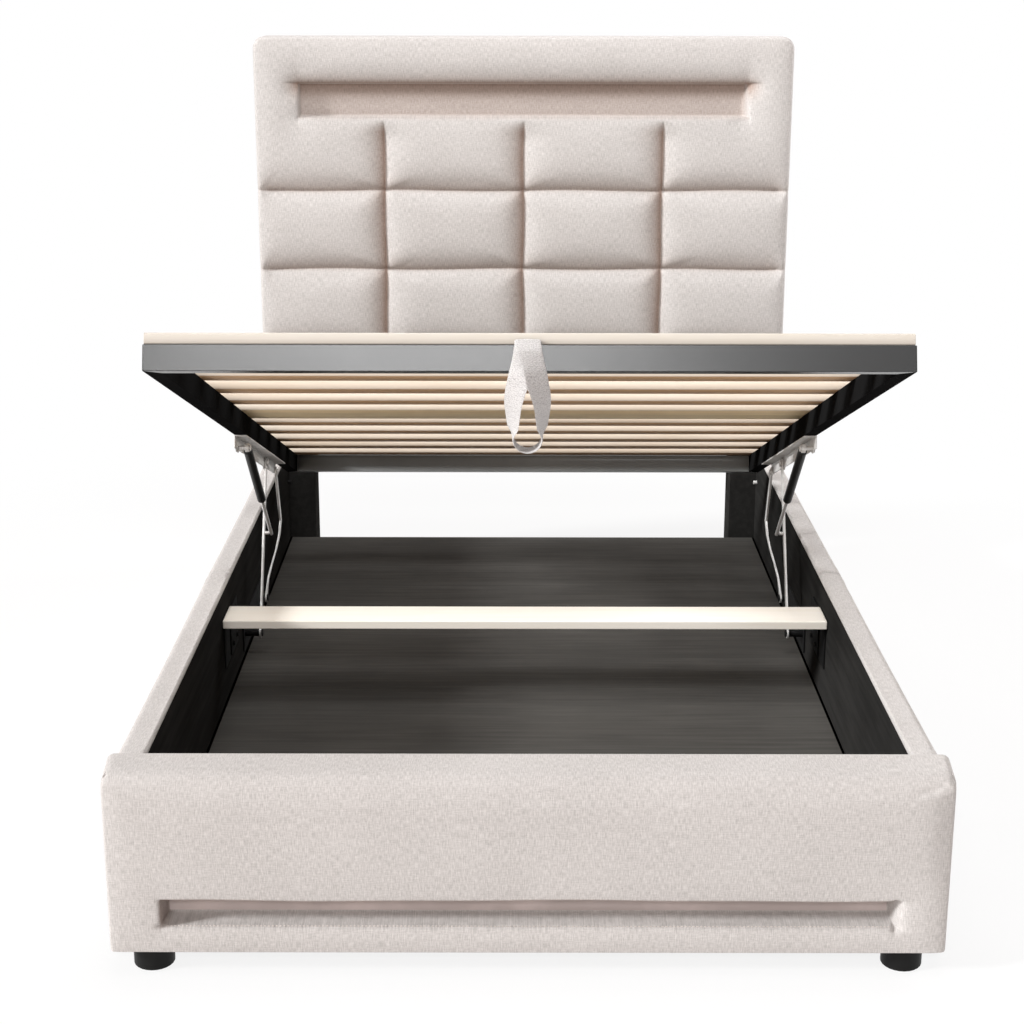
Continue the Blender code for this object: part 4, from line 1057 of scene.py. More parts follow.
def stitch_row(name: str, path: Sequence[Sequence[float]], length: float, pitch: float, thick: float,
               material: bpy.types.Material) -> bpy.types.Object:
    """A row of sewn stitches along a path.

    Args:
        name: name of the piece.
        path: points of the row in metres.
        length: length of a stitch.
        pitch: distance between stitches.
        thick: thickness of the thread.
        material: the thread's material.

    Returns:
        One mesh with every stitch.
    """
    curve = bpy.data.curves.new(name, "CURVE")
    curve.dimensions = "3D"
    spline = curve.splines.new("POLY")
    spline.points.add(len(path) - 1)
    for point, place in zip(spline.points, path):
        point.co = (*place, 1)
    host = bpy.data.objects.new(name, curve)
    bpy.context.scene.collection.objects.link(host)
    tree = PartsTree(name + "_tree", {"Stitch Length": length, "Pitch": pitch, "Thread": thick})
    points = tree.make("GeometryNodeCurveToPoints", {"mode": "LENGTH"},
                       {"Curve": tree.given("Geometry"), "Length": tree.given("Pitch")})
    ball = tree.make("GeometryNodeMeshUVSphere", None, {"Segments": 6, "Rings": 4, "Radius": 0.5})
    size = tree.make("ShaderNodeCombineXYZ", None, {0: tree.given("Thread"), 1: tree.given("Thread"),
                                                    2: tree.given("Stitch Length")})
    shaped = tree.make("GeometryNodeTransform", None,
                       {"Geometry": ball.outputs["Mesh"], "Scale": size.outputs[0]})
    placed = tree.make("GeometryNodeInstanceOnPoints", None,
                       {"Points": points.outputs["Points"], "Instance": shaped.outputs[0],
                        "Rotation": points.outputs["Rotation"]})
    tree.close(placed.outputs[0])
    obj = tree.apply(host, material)
    shade_smooth(obj)
    return obj


@dataclass
class BoltHead:
    """Sizes of a hexagon bolt head on a washer."""

    across: float = 0.0090
    height: float = 0.0030
    washer: float = 0.0068
    washer_thick: float = 0.0010

    def place(self, name: str, places: Sequence[tuple[Sequence[float], Sequence[float]]], body: str,
              material: bpy.types.Material, slot: str) -> None:
        """Puts bolt heads on surfaces.

        Args:
            name: name of the piece.
            places: for each bolt, its seat and the direction that it faces.
            body: body that the bolts ride on.
            material: their material.
            slot: the record's slot; not used.
        """
        mesh = bpy.data.meshes.new(name)
        mesh.from_pydata([tuple(seat) for seat, _ in places], [], [])
        facing = mesh.attributes.new("facing", "FLOAT_VECTOR", "POINT")
        facing.data.foreach_set("vector", [part for _, way in places for part in Vector(way).normalized()])
        host = bpy.data.objects.new(name, mesh)
        bpy.context.scene.collection.objects.link(host)
        tree = PartsTree(name + "_tree", {"Head Radius": self.across / 2, "Head Height": self.height,
                                          "Washer Radius": self.washer,
                                          "Washer Thickness": self.washer_thick})
        tall, thick = (Num(tree, tree.given(size)) for size in ("Head Height", "Washer Thickness"))
        both = tree.make("GeometryNodeJoinGeometry")
        for sides, radius, depth, lift in ((6, "Head Radius", tall, tall * 0.5 + thick),
                                           (20, "Washer Radius", thick, thick * 0.5)):
            solid = tree.make("GeometryNodeMeshCylinder", {"fill_type": "NGON"},
                              {"Vertices": sides, "Radius": tree.given(radius), "Depth": depth})
            shift = tree.make("ShaderNodeCombineXYZ", None, {2: lift})
            moved = tree.make("GeometryNodeTransform", None,
                              {"Geometry": solid.outputs[0], "Translation": shift.outputs[0]})
            tree.join(both.inputs[0], moved.outputs[0])
        way = tree.make("GeometryNodeInputNamedAttribute", {"data_type": "FLOAT_VECTOR"},
                        {"Name": "facing"})
        turned = tree.make("FunctionNodeAlignRotationToVector", {"axis": "Z"},
                           {"Vector": way.outputs["Attribute"]})
        dots = tree.make("GeometryNodeMeshToPoints", None, {"Mesh": tree.given("Geometry")})
        placed = tree.make("GeometryNodeInstanceOnPoints", None,
                           {"Points": dots.outputs[0], "Instance": both.outputs[0],
                            "Rotation": turned.outputs[0]})
        tree.close(placed.outputs[0])
        obj = tree.apply(host, material)
        shade_smooth(obj, 30)
        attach(obj, body)


# ---------------------------------------------------------------- the bed's pieces
@dataclass
class Headboard:
    """Tufted headboard with a niche below its padded top border, with painted shade beside its grooves,
    under its top roll and in its niche.
    """

    columns: tuple[float, ...] = (-0.3441, 0.0, 0.3441)
    rows: tuple[float, ...] = (0.9785, 0.7825, 0.5865, 0.3905)
    column_wave: float = 0.0012      # how far an upright groove wanders
    row_wave: float = 0.0013
    groove_top: float = 1.146
    groove_lead: float = 0.004       # how far above groove_top an upright groove begins
    soft_start: float = 0.050        # over which the soft pull, the crease and the painted shade set in
    crease_start: float = 0.014
    painted_shade_start: float = 0.030
    groove_depth: float = 0.0165
    groove_reach: float = 0.034
    arc_share: float = 0.55          # parts of the pull that are a round arc and a wide pillow
    pillow_share: float = 0.45
    pillow_reach: float = 0.090
    crease: float = 0.0050
    crease_width: float = 0.0042
    row_end: tuple[float, float] = (0.35, 0.035)         # share of a row left at the sides, and reach
    knot: tuple[float, float] = (0.004, 0.013)           # extra depth at a crossing, and its width
    kink: float = 0.0010             # small folds beside the upright grooves
    kink_ring: tuple[float, float] = (0.012, 0.010)      # their distance from the groove, and width
    # painted shade beside the grooves: on a tuft's right side, which faces away from the key lamp, and
    # under the tuft above a row groove
    column_painted_shade: float = 0.95
    row_painted_shade: float = 0.50
    painted_shade_reach: tuple[float, float, float] = (0.020, 0.024, 0.003)    # reach of the painted shade: on the left of an upright groove, above a row groove, on the other sides
    edge: float = 0.012
    edge_top: float = 0.008
    edge_low: float = 0.016
    side_slack: tuple[float, float] = (0.0022, 0.036)    # how far the face falls back, and reach
    top_slack: tuple[float, float] = (0.0010, 0.030)
    corner: float = 0.030
    niche_half: float = 0.5547
    niche_low: float = 1.1560
    niche_high: float = 1.2392
    niche_depth: float = 0.0380
    left_end: float = 0.006          # how far the niche's four walls slope
    right_end: float = 0.014
    high_end: float = 0.004
    low_end: float = 0.005
    top_roll: tuple[float, float] = (0.046, 0.0220)      # reach and depth of the rolled edges
    side_roll: tuple[float, float] = (0.056, 0.0100)
    low_roll: tuple[float, float] = (0.010, 0.0035)
    roll_in: float = 0.06            # how far a roll fades into the niche
    low_roll_in: float = 0.03
    top_roll_side: tuple[float, float] = (-0.045, 0.055)     # where the rolls set in, and over what
    side_roll_top: tuple[float, float] = (-0.050, 0.060)
    side_roll_low: tuple[float, float] = (-0.024, 0.030)
    low_roll_side: tuple[float, float] = (-0.020, 0.030)
    back_painted_shade: tuple[float, float, float] = (0.46, 0.36, 0.055)    # painted shade on the niche's back wall: least, more under the top roll, reach
    # painted shadow line along the niche's lower edge
    foot_painted_shade: float = 0.3
    fine: float = 0.0022             # smallest and largest step of the grid
    coarse: float = 0.0095
    swelling: Swelling = field(default_factory=lambda: Swelling(cap=0.0065))
    half: float = 0.0                # the outline, taken from the frame when the piece is built
    bottom: float = 0.0
    top: float = 0.0

    def tufts(self, x: np.ndarray, z: np.ndarray) -> tuple[np.ndarray, np.ndarray]:
        """Shape of the grooves between the tufts.

        Args:
            x: places across.
            z: heights.

        Returns:
            How far the cloth is drawn in and its painted shade, at each point.
        """
        share, reach = self.row_end
        ends = share + (1 - share) * smooth((self.half - np.abs(x)) / reach)
        starts = self.groove_top + self.groove_lead - z
        left, over, other = self.painted_shade_reach
        pulls, painted_shades = [], []
        for line in self.columns:
            off = x - line - self.column_wave * np.sin((z - 0.3) * 23 + line * 9)
            pulls.append(self.tuck(np.abs(off), smooth(starts / self.soft_start),
                                   smooth(starts / self.crease_start)))
            # painted shade, wider on the left of each upright groove where the tuft faces away from the key
            # lamp
            painted_shades.append(self.column_painted_shade * np.exp(-np.abs(off) / np.where(off < 0, left, other))
                          * smooth(starts / self.painted_shade_start))
        for number, line in enumerate(self.rows):
            off = z - line - self.row_wave * np.sin(x * 15 + number * 2.3)
            pulls.append(self.tuck(np.abs(off), ends, ends))
            # painted shade, wider above each row groove under the tuft above
            painted_shades.append(self.row_painted_shade * np.exp(-np.abs(off) / np.where(off > 0, over, other)) * ends)
        knots = np.zeros_like(x)
        for line in self.columns:
            for level in self.rows:
                knots = np.maximum(knots, self.knot[0] * bell(np.hypot(x - line, z - level), self.knot[1]))
        folds = self.kink * np.sin(z * 150 + np.sin(x * 31) * 2) * np.sin(z * 47)
        away, width = self.kink_ring
        beside = sum([bell(np.abs(x - line) - away, width) for line in self.columns])
        pull = joined(pulls) + knots + np.maximum(folds, 0) * beside * smooth(starts / self.soft_start)
        return pull, joined(painted_shades, 3)

    def front(self, x: np.ndarray, z: np.ndarray) -> tuple[np.ndarray, np.ndarray]:
        """Shape of the front face.

        Args:
            x: places across.
            z: heights.

        Returns:
            Depth behind the front plane and its painted shade, at each point.
        """
        from_side, from_top = self.half - np.abs(x), self.top - z
        fall = rounding(((from_side, self.edge), (from_top, self.edge_top),
                         (z - self.bottom, self.edge_low)))
        fall += slack(from_side, *self.side_slack) + slack(from_top, *self.top_slack)
        pull, tuft_painted_shade = self.tufts(x, z)
        side = from_side - (self.half - self.niche_half)
        above, below = self.niche_high - z, z - self.niche_low
        top_roll = (roll(-above, *self.top_roll) * fade(above, self.roll_in)
                    * rise(side, *self.top_roll_side))
        side_roll = (roll(-side, *self.side_roll) * fade(side, self.roll_in)
                     * rise(above, *self.side_roll_top) * rise(below, *self.side_roll_low))
        low_roll = (roll(-below, *self.low_roll) * fade(below, self.low_roll_in)
                    * rise(side, *self.low_roll_side))
        lips = joined([pull, top_roll, side_roll, low_roll], 3)
        end = np.where(x > 0, self.right_end, self.left_end)
        wall = smooth(side / end) * smooth(np.minimum(above / self.high_end, below / self.low_end))
        least, more, reach = self.back_painted_shade
        # painted shade under the top roll and on the niche's back wall, darker under the top, plus a
        # painted shadow line along the niche's foot
        gloom = np.maximum(tuft_painted_shade, self.column_painted_shade * (top_roll / self.top_roll[1]) ** 1.2)
        gloom = np.maximum(gloom * (1 - wall), wall * (least + more * fade(above, reach)))
        gloom = np.maximum(gloom, self.foot_painted_shade * bell(below - 0.001, 0.0045) * rise(side, -0.004, 0.008))
        return lips + (self.niche_depth - lips) * wall + fall, np.clip(gloom, 0, 1)

    def tuck(self, distance: np.ndarray, share: Numbers = 1.0, crease: Numbers = 1.0) -> np.ndarray:
        """How far the padding is drawn in near a groove.

        Args:
            distance: distance from the groove.
            share: share of the soft pull.
            crease: share of the sharp crease.

        Returns:
            The depth.
        """
        near = np.clip(distance / self.groove_reach, 0, 1)
        arc = 1 - np.sqrt(np.maximum(1 - (1 - near) ** 2, 0))
        wide = np.clip(1 - distance / self.pillow_reach, 0, 1) ** 2
        soft = self.groove_depth * (self.arc_share * arc + self.pillow_share * wide) * share
        return soft + self.crease * bell(distance, self.crease_width) * crease

    def build(self, linen: bpy.types.Material) -> None:
        """Builds and dresses the padding.

        Args:
            linen: upholstery material.
        """
        low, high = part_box("headboard_pad")
        self.half, self.bottom, self.top = high.x, low.z, high.z
        slab = PaddedSlab(self.half, self.bottom, self.top, high.y, self.corner)
        edges = (self.half, self.half - self.edge)
        columns = graded([*edges, *(-e for e in edges), *self.columns, self.niche_half, -self.niche_half,
                          self.niche_half - self.left_end, self.left_end - self.niche_half],
                         self.fine, self.coarse)
        rows = graded([self.bottom, self.bottom + self.edge, self.top, self.top - self.edge, *self.rows,
                       self.niche_low, self.niche_low + self.low_end,
                       self.niche_high, self.niche_high - self.high_end], self.fine, self.coarse)
        obj, x, z = slab.build("headboard_upholstery", columns, rows, self.front, low.y)
        flat = self.tuck(np.array([0.0]))[0]
        pulled = np.zeros(len(x))
        for line in self.columns:
            pulled = np.maximum(pulled, self.tuck(np.abs(x - line)) / flat * (z < self.groove_top))
        for line in self.rows:
            pulled = np.maximum(pulled, self.tuck(np.abs(z - line)) / flat)
        held = np.ones(len(obj.data.vertices))
        rim = (self.half - np.abs(x), self.top - z, z - self.bottom)
        niche = (self.niche_half + 0.012 - np.abs(x), self.niche_high + 0.010 - z,
                 z - self.niche_low + 0.008)
        held[:len(x)] = np.maximum(rise(pulled, 0.55, 0.4), tacked(rim, niche, 0.006))
        dress_padded(obj, "headboard_pad", linen, self.swelling, held, (low.y, self.top))


@dataclass
class Footboard:
    """Padded footboard with a stitched recess near its foot, and painted shade in the recess."""

    edge: float = 0.008
    edge_high: float = 0.030
    edge_low: float = 0.0045
    corner: float = 0.015
    corner_low: float = 0.004
    crown: float = 0.002
    inset: float = 0.007
    right_slack: float = 0.0045      # how far the face falls back near its sides
    left_slack: float = 0.0014
    slack_reach: float = 0.030
    niche_half: float = 0.5675
    niche_low: float = 0.0847
    niche_high: float = 0.1290
    niche_depth: float = 0.0500
    side_end: float = 0.004          # how far the niche's walls slope
    level_end: float = 0.003
    lip: float = 0.012               # rounding of the niche's lower, upper and side edges
    high_lip: float = 0.0035
    left_lip: float = 0.004
    right_lip: float = 0.020
    top_in: float = 0.006            # how far each lip's roll fades into the niche
    side_in: float = 0.010
    low_in: float = 0.008
    top_lip_side: tuple[float, float] = (-0.006, 0.008)      # where the rolls set in, and over what
    side_lip_top: tuple[float, float] = (-0.004, 0.006)
    low_lip_side: tuple[float, float] = (-0.012, 0.016)
    # painted shade in the recess: strength, and how far below the upper lip it fades
    gloom: float = 0.8
    painted_shade_reach: float = 0.020
    end_painted_shade: float = 0.018         # reach of the painted shade on the niche's left end wall, which faces away from the key lamp
    fine: tuple[float, float] = (0.0028, 0.0020)         # smallest and largest steps of the grid
    coarse: tuple[float, float] = (0.0100, 0.0085)
    stitch: tuple[float, float, float] = (0.0040, 0.0060, 0.0015)    # length, pitch and thread
    stitch_points: int = 60
    swelling: Swelling = field(default_factory=lambda: Swelling(cap=0.004))
    half: float = 0.0                # the outline, taken from the frame when the piece is built
    bottom: float = 0.0
    top: float = 0.0

    def front(self, x: np.ndarray, z: np.ndarray) -> tuple[np.ndarray, np.ndarray]:
        """Shape of the front face.

        Args:
            x: places across.
            z: heights.

        Returns:
            Depth behind the front plane and its painted shade, at each point.
        """
        from_side = self.half - np.abs(x)
        fall = rounding(((from_side, self.edge), (self.top - z, self.edge_high),
                         (z - self.bottom, self.edge_low)))
        middle = (z - self.niche_high) / (self.top - self.niche_high)
        bulge = np.clip(1 - (2 * middle - 1) ** 2, 0, 1) * np.clip(1 - (np.abs(x) / self.half) ** 4, 0, 1)
        wave = 0.0009 * np.sin(x * 9 + 1) + 0.0004 * np.sin(x * 23)
        side = from_side - (self.half - self.niche_half)
        above, below = self.niche_high + wave - z, z - self.niche_low
        side_lip = np.where(x > 0, self.right_lip, self.left_lip)
        top_roll = (edge_fall(np.maximum(-above, 0), self.high_lip) * fade(above, self.top_in)
                    * rise(side, *self.top_lip_side))
        side_roll = (edge_fall(np.maximum(-side, 0), side_lip) * fade(side, self.side_in)
                     * rise(above, *self.side_lip_top) * rise(below, -self.lip, self.lip))
        low_roll = (edge_fall(np.maximum(-below, 0), self.lip) * fade(below, self.low_in)
                    * rise(side, *self.low_lip_side))
        lips = joined([top_roll, side_roll, low_roll], 3)
        wall = smooth(np.minimum.reduce((side / self.side_end, above / self.level_end,
                                         below / self.level_end)))
        depth = lips + (self.niche_depth - lips) * wall
        fall += slack(from_side, np.where(x > 0, self.right_slack, self.left_slack), self.slack_reach)
        # painted shade on the niche's left end wall, which faces away from the key lamp
        left = fade(side, self.end_painted_shade) * rise(side, -0.003, 0.003) * rise(above, -0.001, 0.003)
        left *= rise(below, -0.006, 0.010) * (x < 0)
        # painted shade on the niche's back wall under the upper lip, and a painted shadow line along that
        # lip
        gloom = np.maximum(wall * self.gloom * fade(above, self.painted_shade_reach), left)
        gloom = np.maximum(gloom, smooth(side / 0.002) * bell(above, 0.0022) * self.gloom)
        return depth + fall - self.crown * bulge, np.clip(gloom, 0, 1)

    def build(self, linen: bpy.types.Material, thread: bpy.types.Material) -> None:
        """Builds and dresses the padding and its stitches.

        Args:
            linen: upholstery material.
            thread: sewing thread material.
        """
        low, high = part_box("footboard_pad")
        self.half, self.bottom, self.top = high.x, low.z, high.z
        slab = PaddedSlab(self.half, self.bottom, self.top, high.y, self.corner, self.corner_low,
                          self.inset)
        edges = (self.half, self.half - self.edge, self.niche_half, self.niche_half - self.side_end,
                 self.niche_half + self.right_lip)
        columns = graded([*edges, *(-e for e in edges), 0.0], self.fine[0], self.coarse[0])
        rows = graded([self.bottom, self.bottom + self.edge_low, self.niche_low - self.lip, self.niche_low,
                       self.niche_low + self.level_end, self.niche_high - self.level_end, self.niche_high,
                       self.niche_high + self.high_lip, self.top, self.top - self.edge_high],
                      self.fine[1], self.coarse[1])
        obj, x, z = slab.build("footboard_upholstery", columns, rows, self.front, low.y)
        held = np.ones(len(obj.data.vertices))
        rim = (self.half - np.abs(x), self.top - z, z - self.bottom)
        niche = (self.niche_half + 0.010 - np.abs(x), self.niche_high + 0.004 - z,
                 z - self.niche_low + self.lip * 0.6)
        held[:len(x)] = tacked(rim, niche, 0.004)
        dress_padded(obj, "footboard_pad", linen, self.swelling, held, (low.y, self.top))
        seam_y = low.y + self.lip * 0.60
        seam_z = self.niche_low - self.lip * 0.07
        end = self.niche_half - 0.01
        path = [(across, seam_y, seam_z) for across in np.linspace(-end, end, self.stitch_points)]
        row = stitch_row("footboard_stitches", path, *self.stitch, thread)
        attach(row, "bed_base")


@dataclass
class SideRails:
    """Four padded rail halves with slightly slack cloth at their ends."""

    round_top: float = 0.013
    round_low: float = 0.006
    round_inner: float = 0.6         # inner top rounding, as a share of the outer one
    crown: float = 0.0022
    step: float = 0.0033             # how far the rail sets back behind its lining
    step_low: float = 0.0125         # depths of that step below the top
    step_high: float = 0.0120
    pitch: tuple[float, float] = (0.003, 0.011)          # smallest and largest step along the rail
    end_round: float = 0.009
    end_shrink: float = 0.6
    tucked: float = 0.005
    tucked_over: float = 0.060
    ripple: float = 0.0007
    swelling: Swelling = field(default_factory=lambda: Swelling(cap=0.003, growth=0.006, stiff=8))

    def section(self, inner: float, outer: float, low: float, high: float) -> np.ndarray:
        """Outline of a rail as (x, z) points, going round from the inner top.

        Args:
            inner: inner face over the lining.
            outer: outer face.
            low: underside.
            high: top.

        Returns:
            The outline points.
        """
        def quarter(x: float, z: float, radius: float, start: float,
                    steps: int) -> list[tuple[float, float]]:
            """Points of a quarter turn."""
            turns = [start - i / steps * math.pi / 2 for i in range(steps + 1)]
            return [(x + radius * math.cos(turn), z + radius * math.sin(turn)) for turn in turns]

        r, b, small = self.round_top, self.round_low, self.round_top * self.round_inner
        step = inner + self.step
        points = quarter(inner + small, high - small, small, math.pi, 5)
        points += [(inner + small + (outer - r - inner - small) * i / 5, high) for i in range(1, 5)]
        points += quarter(outer - r, high - r, r, math.pi / 2, 6)
        drop = high - r - low - b
        points += [(outer + self.crown * math.sin(math.pi * i / 15), high - r - drop * i / 15)
                   for i in range(1, 15)]
        points += quarter(outer - b, low + b, b, 0, 3)
        points += [((step + outer) / 2, low), (step, low)]
        points += [(step, low + (high - self.step_low - low) * share) for share in (0.25, 0.5, 0.75)]
        points += [(step, high - self.step_low), (inner, high - self.step_high)]
        return np.array(points)

    def ring(self, loop: np.ndarray, y: float, part: str, low: Vector, high: Vector) -> np.ndarray:
        """The outline at one place along a rail.

        Args:
            loop: the plain outline.
            y: the place.
            part: front or rear half.
            low: lower corner of the rail.
            high: upper corner of the rail.

        Returns:
            The outline's (x, z) points there.
        """
        inner, sign = min(abs(low.x), abs(high.x)), math.copysign(1, low.x + high.x)
        near_end = high.y - y if part == "front" else y - low.y
        shrink = edge_fall(np.array([near_end]), self.end_round)[0] * self.end_shrink
        ring = loop.copy()
        toward = loop.mean(0) - ring
        toward /= np.maximum(np.linalg.norm(toward, axis=1, keepdims=True), TINY)
        padded = (ring[:, 0] > inner + 0.004) & (ring[:, 1] > low.z + 0.02)
        ring += toward * shrink * padded[:, None]
        if part == "front":
            tucked = self.tucked * max(1 - (y - low.y) / self.tucked_over, 0) ** 2
            ring[:, 0] -= tucked * (ring[:, 0] > inner + 0.020)
        ripple = self.ripple * math.sin(y * 61 + sign) * math.sin(y * 23 + 2)
        ring[:, 1] += np.where(ring[:, 1] > high.z - 0.006, ripple - self.ripple, 0)
        return ring

    def build(self, linen: bpy.types.Material) -> None:
        """Builds and dresses the four rail halves.

        Args:
            linen: upholstery material.
        """
        for part in ("front", "rear"):
            for side, sign in SIDES:
                node = f"rail_{part}_{side}"
                low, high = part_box(node)
                inner, outer = sorted((abs(low.x), abs(high.x)))
                loop = self.section(inner, outer - self.crown, low.z, high.z)
                rings = []
                for y in graded([low.y, high.y], *self.pitch):
                    ring = self.ring(loop, y, part, low, high)
                    rings.append(np.stack((sign * ring[:, 0], np.full(len(ring), y), ring[:, 1]), -1))
                points = np.concatenate(rings)
                obj = swept(f"{node}_upholstery", rings)
                held = np.zeros(len(points))
                held[(np.abs(points[:, 0]) < inner + 0.005) | (points[:, 2] < low.z + 0.006)] = 1
                held[(points[:, 1] < low.y + 0.0035) | (points[:, 1] > high.y - 0.0035)] = 1
                dress_padded(obj, node, linen, self.swelling, held)


@dataclass
class PullStrap:
    """Doubled webbing loop that hangs from the platform's front edge."""

    width: float = 0.0400
    thick: float = 0.0024
    top: float = 0.0480
    drop: float = 0.1205
    bulge: float = 0.0222
    aside: float = -0.0028
    twist: float = math.radians(72)
    last_twist: float = math.radians(16)
    parted_share: float = 0.72
    stations: int = 46
    bend_steps: int = 12
    across: int = 8
    tilt: float = math.radians(19.577)
    front: tuple[float, float] = (0.0281 - 1.00255, 0.9342)
    gap: float = 0.0003              # between the webbing and what it lies on
    layer_gap: float = 0.001
    belly: float = 0.0075            # most that the two layers stand apart
    thin_edge: tuple[float, float] = (0.85, 0.45)        # where its edges start to thin, and how much

    def raised(self, s: float, h: float) -> tuple[float, float]:
        """Place in the raised platform of a point s behind its edge and h above its tubes."""
        c, n = math.cos(self.tilt), math.sin(self.tilt)
        return self.front[0] + s * c + h * n, self.front[1] - s * n + h * c

    def leg(self, layer: int, way: int) -> list[tuple[Vector, Vector]]:
        """Places and sideways directions along one leg, from the top down.

        Args:
            layer: 0 for the layer against the platform's tube, 1 for the one in front of it.
            way: side to which the leg parts.

        Returns:
            A place and a direction for each station.
        """
        run = self.top + self.drop - self.bulge
        face = -self.gap - self.thick / 2
        leg = []
        for step in range(self.stations + 1):
            share = step / self.stations
            fall = self.top - run * share
            turn = way * (self.twist * share ** 0.95 + self.last_twist * smooth((share - 0.90) / 0.10))
            near = 1 - smooth((share - 0.66) / 0.30)
            out = self.aside + way * self.bulge * smooth(share / self.parted_share)
            belly = self.belly * smooth(share / 0.15) * (1 - smooth((share - 0.42) / 0.25))
            apart = (self.thick + self.layer_gap) * near + belly
            forward = self.width / 2 * math.sin(abs(turn)) * (1 - smooth((share - 0.40) / 0.45))
            depth = face - forward - layer * apart
            leg.append((Vector((out, depth, fall)), Vector((math.cos(turn), math.sin(turn), 0))))
        return leg

    def build(self, webbing: bpy.types.Material) -> None:
        """Builds and dresses the loop.

        Args:
            webbing: webbing material.
        """
        left, right = self.leg(0, -1), self.leg(1, 1)
        bottom = []
        middle = (left[-1][0] + right[-1][0]) / 2
        radius = (right[-1][0].x - left[-1][0].x) / 2
        for step in range(1, self.bend_steps):
            angle = math.pi * (1 + step / self.bend_steps)
            bottom.append((middle + Vector((radius * math.cos(angle), 0, radius * math.sin(angle))), None))
        path = left + bottom + right[::-1]
        spots = [p for p, _ in path]
        last, rings, along = None, [], [0.0]
        edge, thinned = self.thin_edge
        for index, (spot, wide) in enumerate(path):
            ahead, behind = spots[min(index + 1, len(spots) - 1)], spots[max(index - 1, 0)]
            tangent = (ahead - behind).normalized()
            if index:
                along.append(along[-1] + (spot - spots[index - 1]).length)
            wide = Vector((0, 1, 0)) if wide is None else wide
            if last is not None and wide.dot(last) < 0:
                wide = -wide
            last = wide
            normal = tangent.cross(wide)
            if index < len(left) or index >= len(left) + len(bottom):
                normal.z = 0
            normal.normalize()
            ring = []
            for side in (-1, 1):
                for k in range(self.across + 1):
                    t = (k / self.across * 2 - 1) * -side
                    thin = 1 - thinned * max(abs(t) - edge, 0) / (1 - edge)
                    ring.append(spot + wide * t * self.width / 2 + normal * side * self.thick / 2 * thin)
            rings.append([self.settle(p) for p in ring])
        obj = swept("pull_strap_webbing", rings)
        mesh = obj.data
        layer = mesh.uv_layers.new(name=CLOTH_MAP)
        half = self.across + 1
        for polygon in mesh.polygons:
            for loop in polygon.loop_indices:
                ring, place = divmod(mesh.loops[loop].vertex_index, 2 * half)
                share = (place if place < half else 2 * half - 1 - place) / self.across
                layer.data[loop].uv = (share * self.width, along[ring])
        round_off(obj)
        finish_with(obj, webbing)
        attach(obj, "platform")
        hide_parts("pull_strap")

    def settle(self, p: Vector) -> tuple[float, float, float]:
        """Turns a strap point from the platform's own directions to the bed's frame.

        Args:
            p: place across, behind the platform's edge and above its tubes.

        Returns:
            The point in the bed's frame, hanging straight where it is below the tubes.
        """
        x, s, h = p
        tilted = self.raised(s, h)
        if h > 0:
            return x, tilted[0], tilted[1]
        hang = self.raised(0, 0)
        y, z = hang[0] + s * math.cos(self.tilt), hang[1] + h
        share = smooth(-h / (self.width / 2))
        return x, tilted[0] * (1 - share) + y * share, tilted[1] * (1 - share) + z * share


@dataclass
class StorageBox:
    """Dark lined box with its loose cross plank, brackets and feet."""

    plank_edge: float = 0.0022
    foot_edge: float = 0.004
    fine_edge: float = 0.0006
    bolts_along: tuple[float, float] = (0.018, 0.072)       # from a splice plate's front end
    bolts_up: tuple[float, float] = (0.020, 0.080)          # from its lower edge

    def build(self, timber: bpy.types.Material, wall: bpy.types.Material, floor: bpy.types.Material,
              steel: bpy.types.Material, plastic: bpy.types.Material, strip: bpy.types.Material,
              plated: bpy.types.Material, zinc: bpy.types.Material, beam: bpy.types.Material) -> None:
        """Dresses the box's rigid pieces.

        Args:
            timber: plank material.
            wall: material of linings, legs and panels.
            floor: material of the floor panels.
            steel: black steel.
            plastic: black plastic of the feet.
            strip: smooth strip in the footboard.
            plated: black plated steel.
            zinc: bright plated steel.
            beam: rough timber under the floor.
        """
        nodes = {wall: ["headboard_panel", "footboard_panel", "headboard_leg_left", "headboard_leg_right",
                        "rail_lining_left", "rail_lining_right"],
                 floor: ["floor_panel_front", "floor_panel_rear"],
                 plated: ["corner_bolt_left"],
                 zinc: ["corner_bolt_right"],
                 beam: ["floor_beam_front", "floor_beam_rear"]}
        for material, names in nodes.items():
            for name in names:
                finish_with(bpy.data.objects[name], material)
        dress_rigid("cross_plank", timber, self.plank_edge, 3)
        dress_rigid("footboard_strip", strip, self.fine_edge)
        for side, sign in SIDES:
            for name in ("rail_splice", "plank_bracket"):
                dress_rigid(f"{name}_{side}", steel, self.fine_edge)
            for place in ("front", "mid", "rear"):
                dress_rigid(f"foot_{place}_{side}", plastic, self.foot_edge, 4, 50)
            low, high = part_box(f"rail_splice_{side}")
            face = min(abs(low.x), abs(high.x)) * sign
            spots = [((face, low.y + along, low.z + up), (-sign, 0, 0))
                     for along in self.bolts_along for up in self.bolts_up]
            BoltHead().place(f"splice_bolts_{side}", spots, "bed_base", steel, "black_steel")
        log.info("storage box dressed")


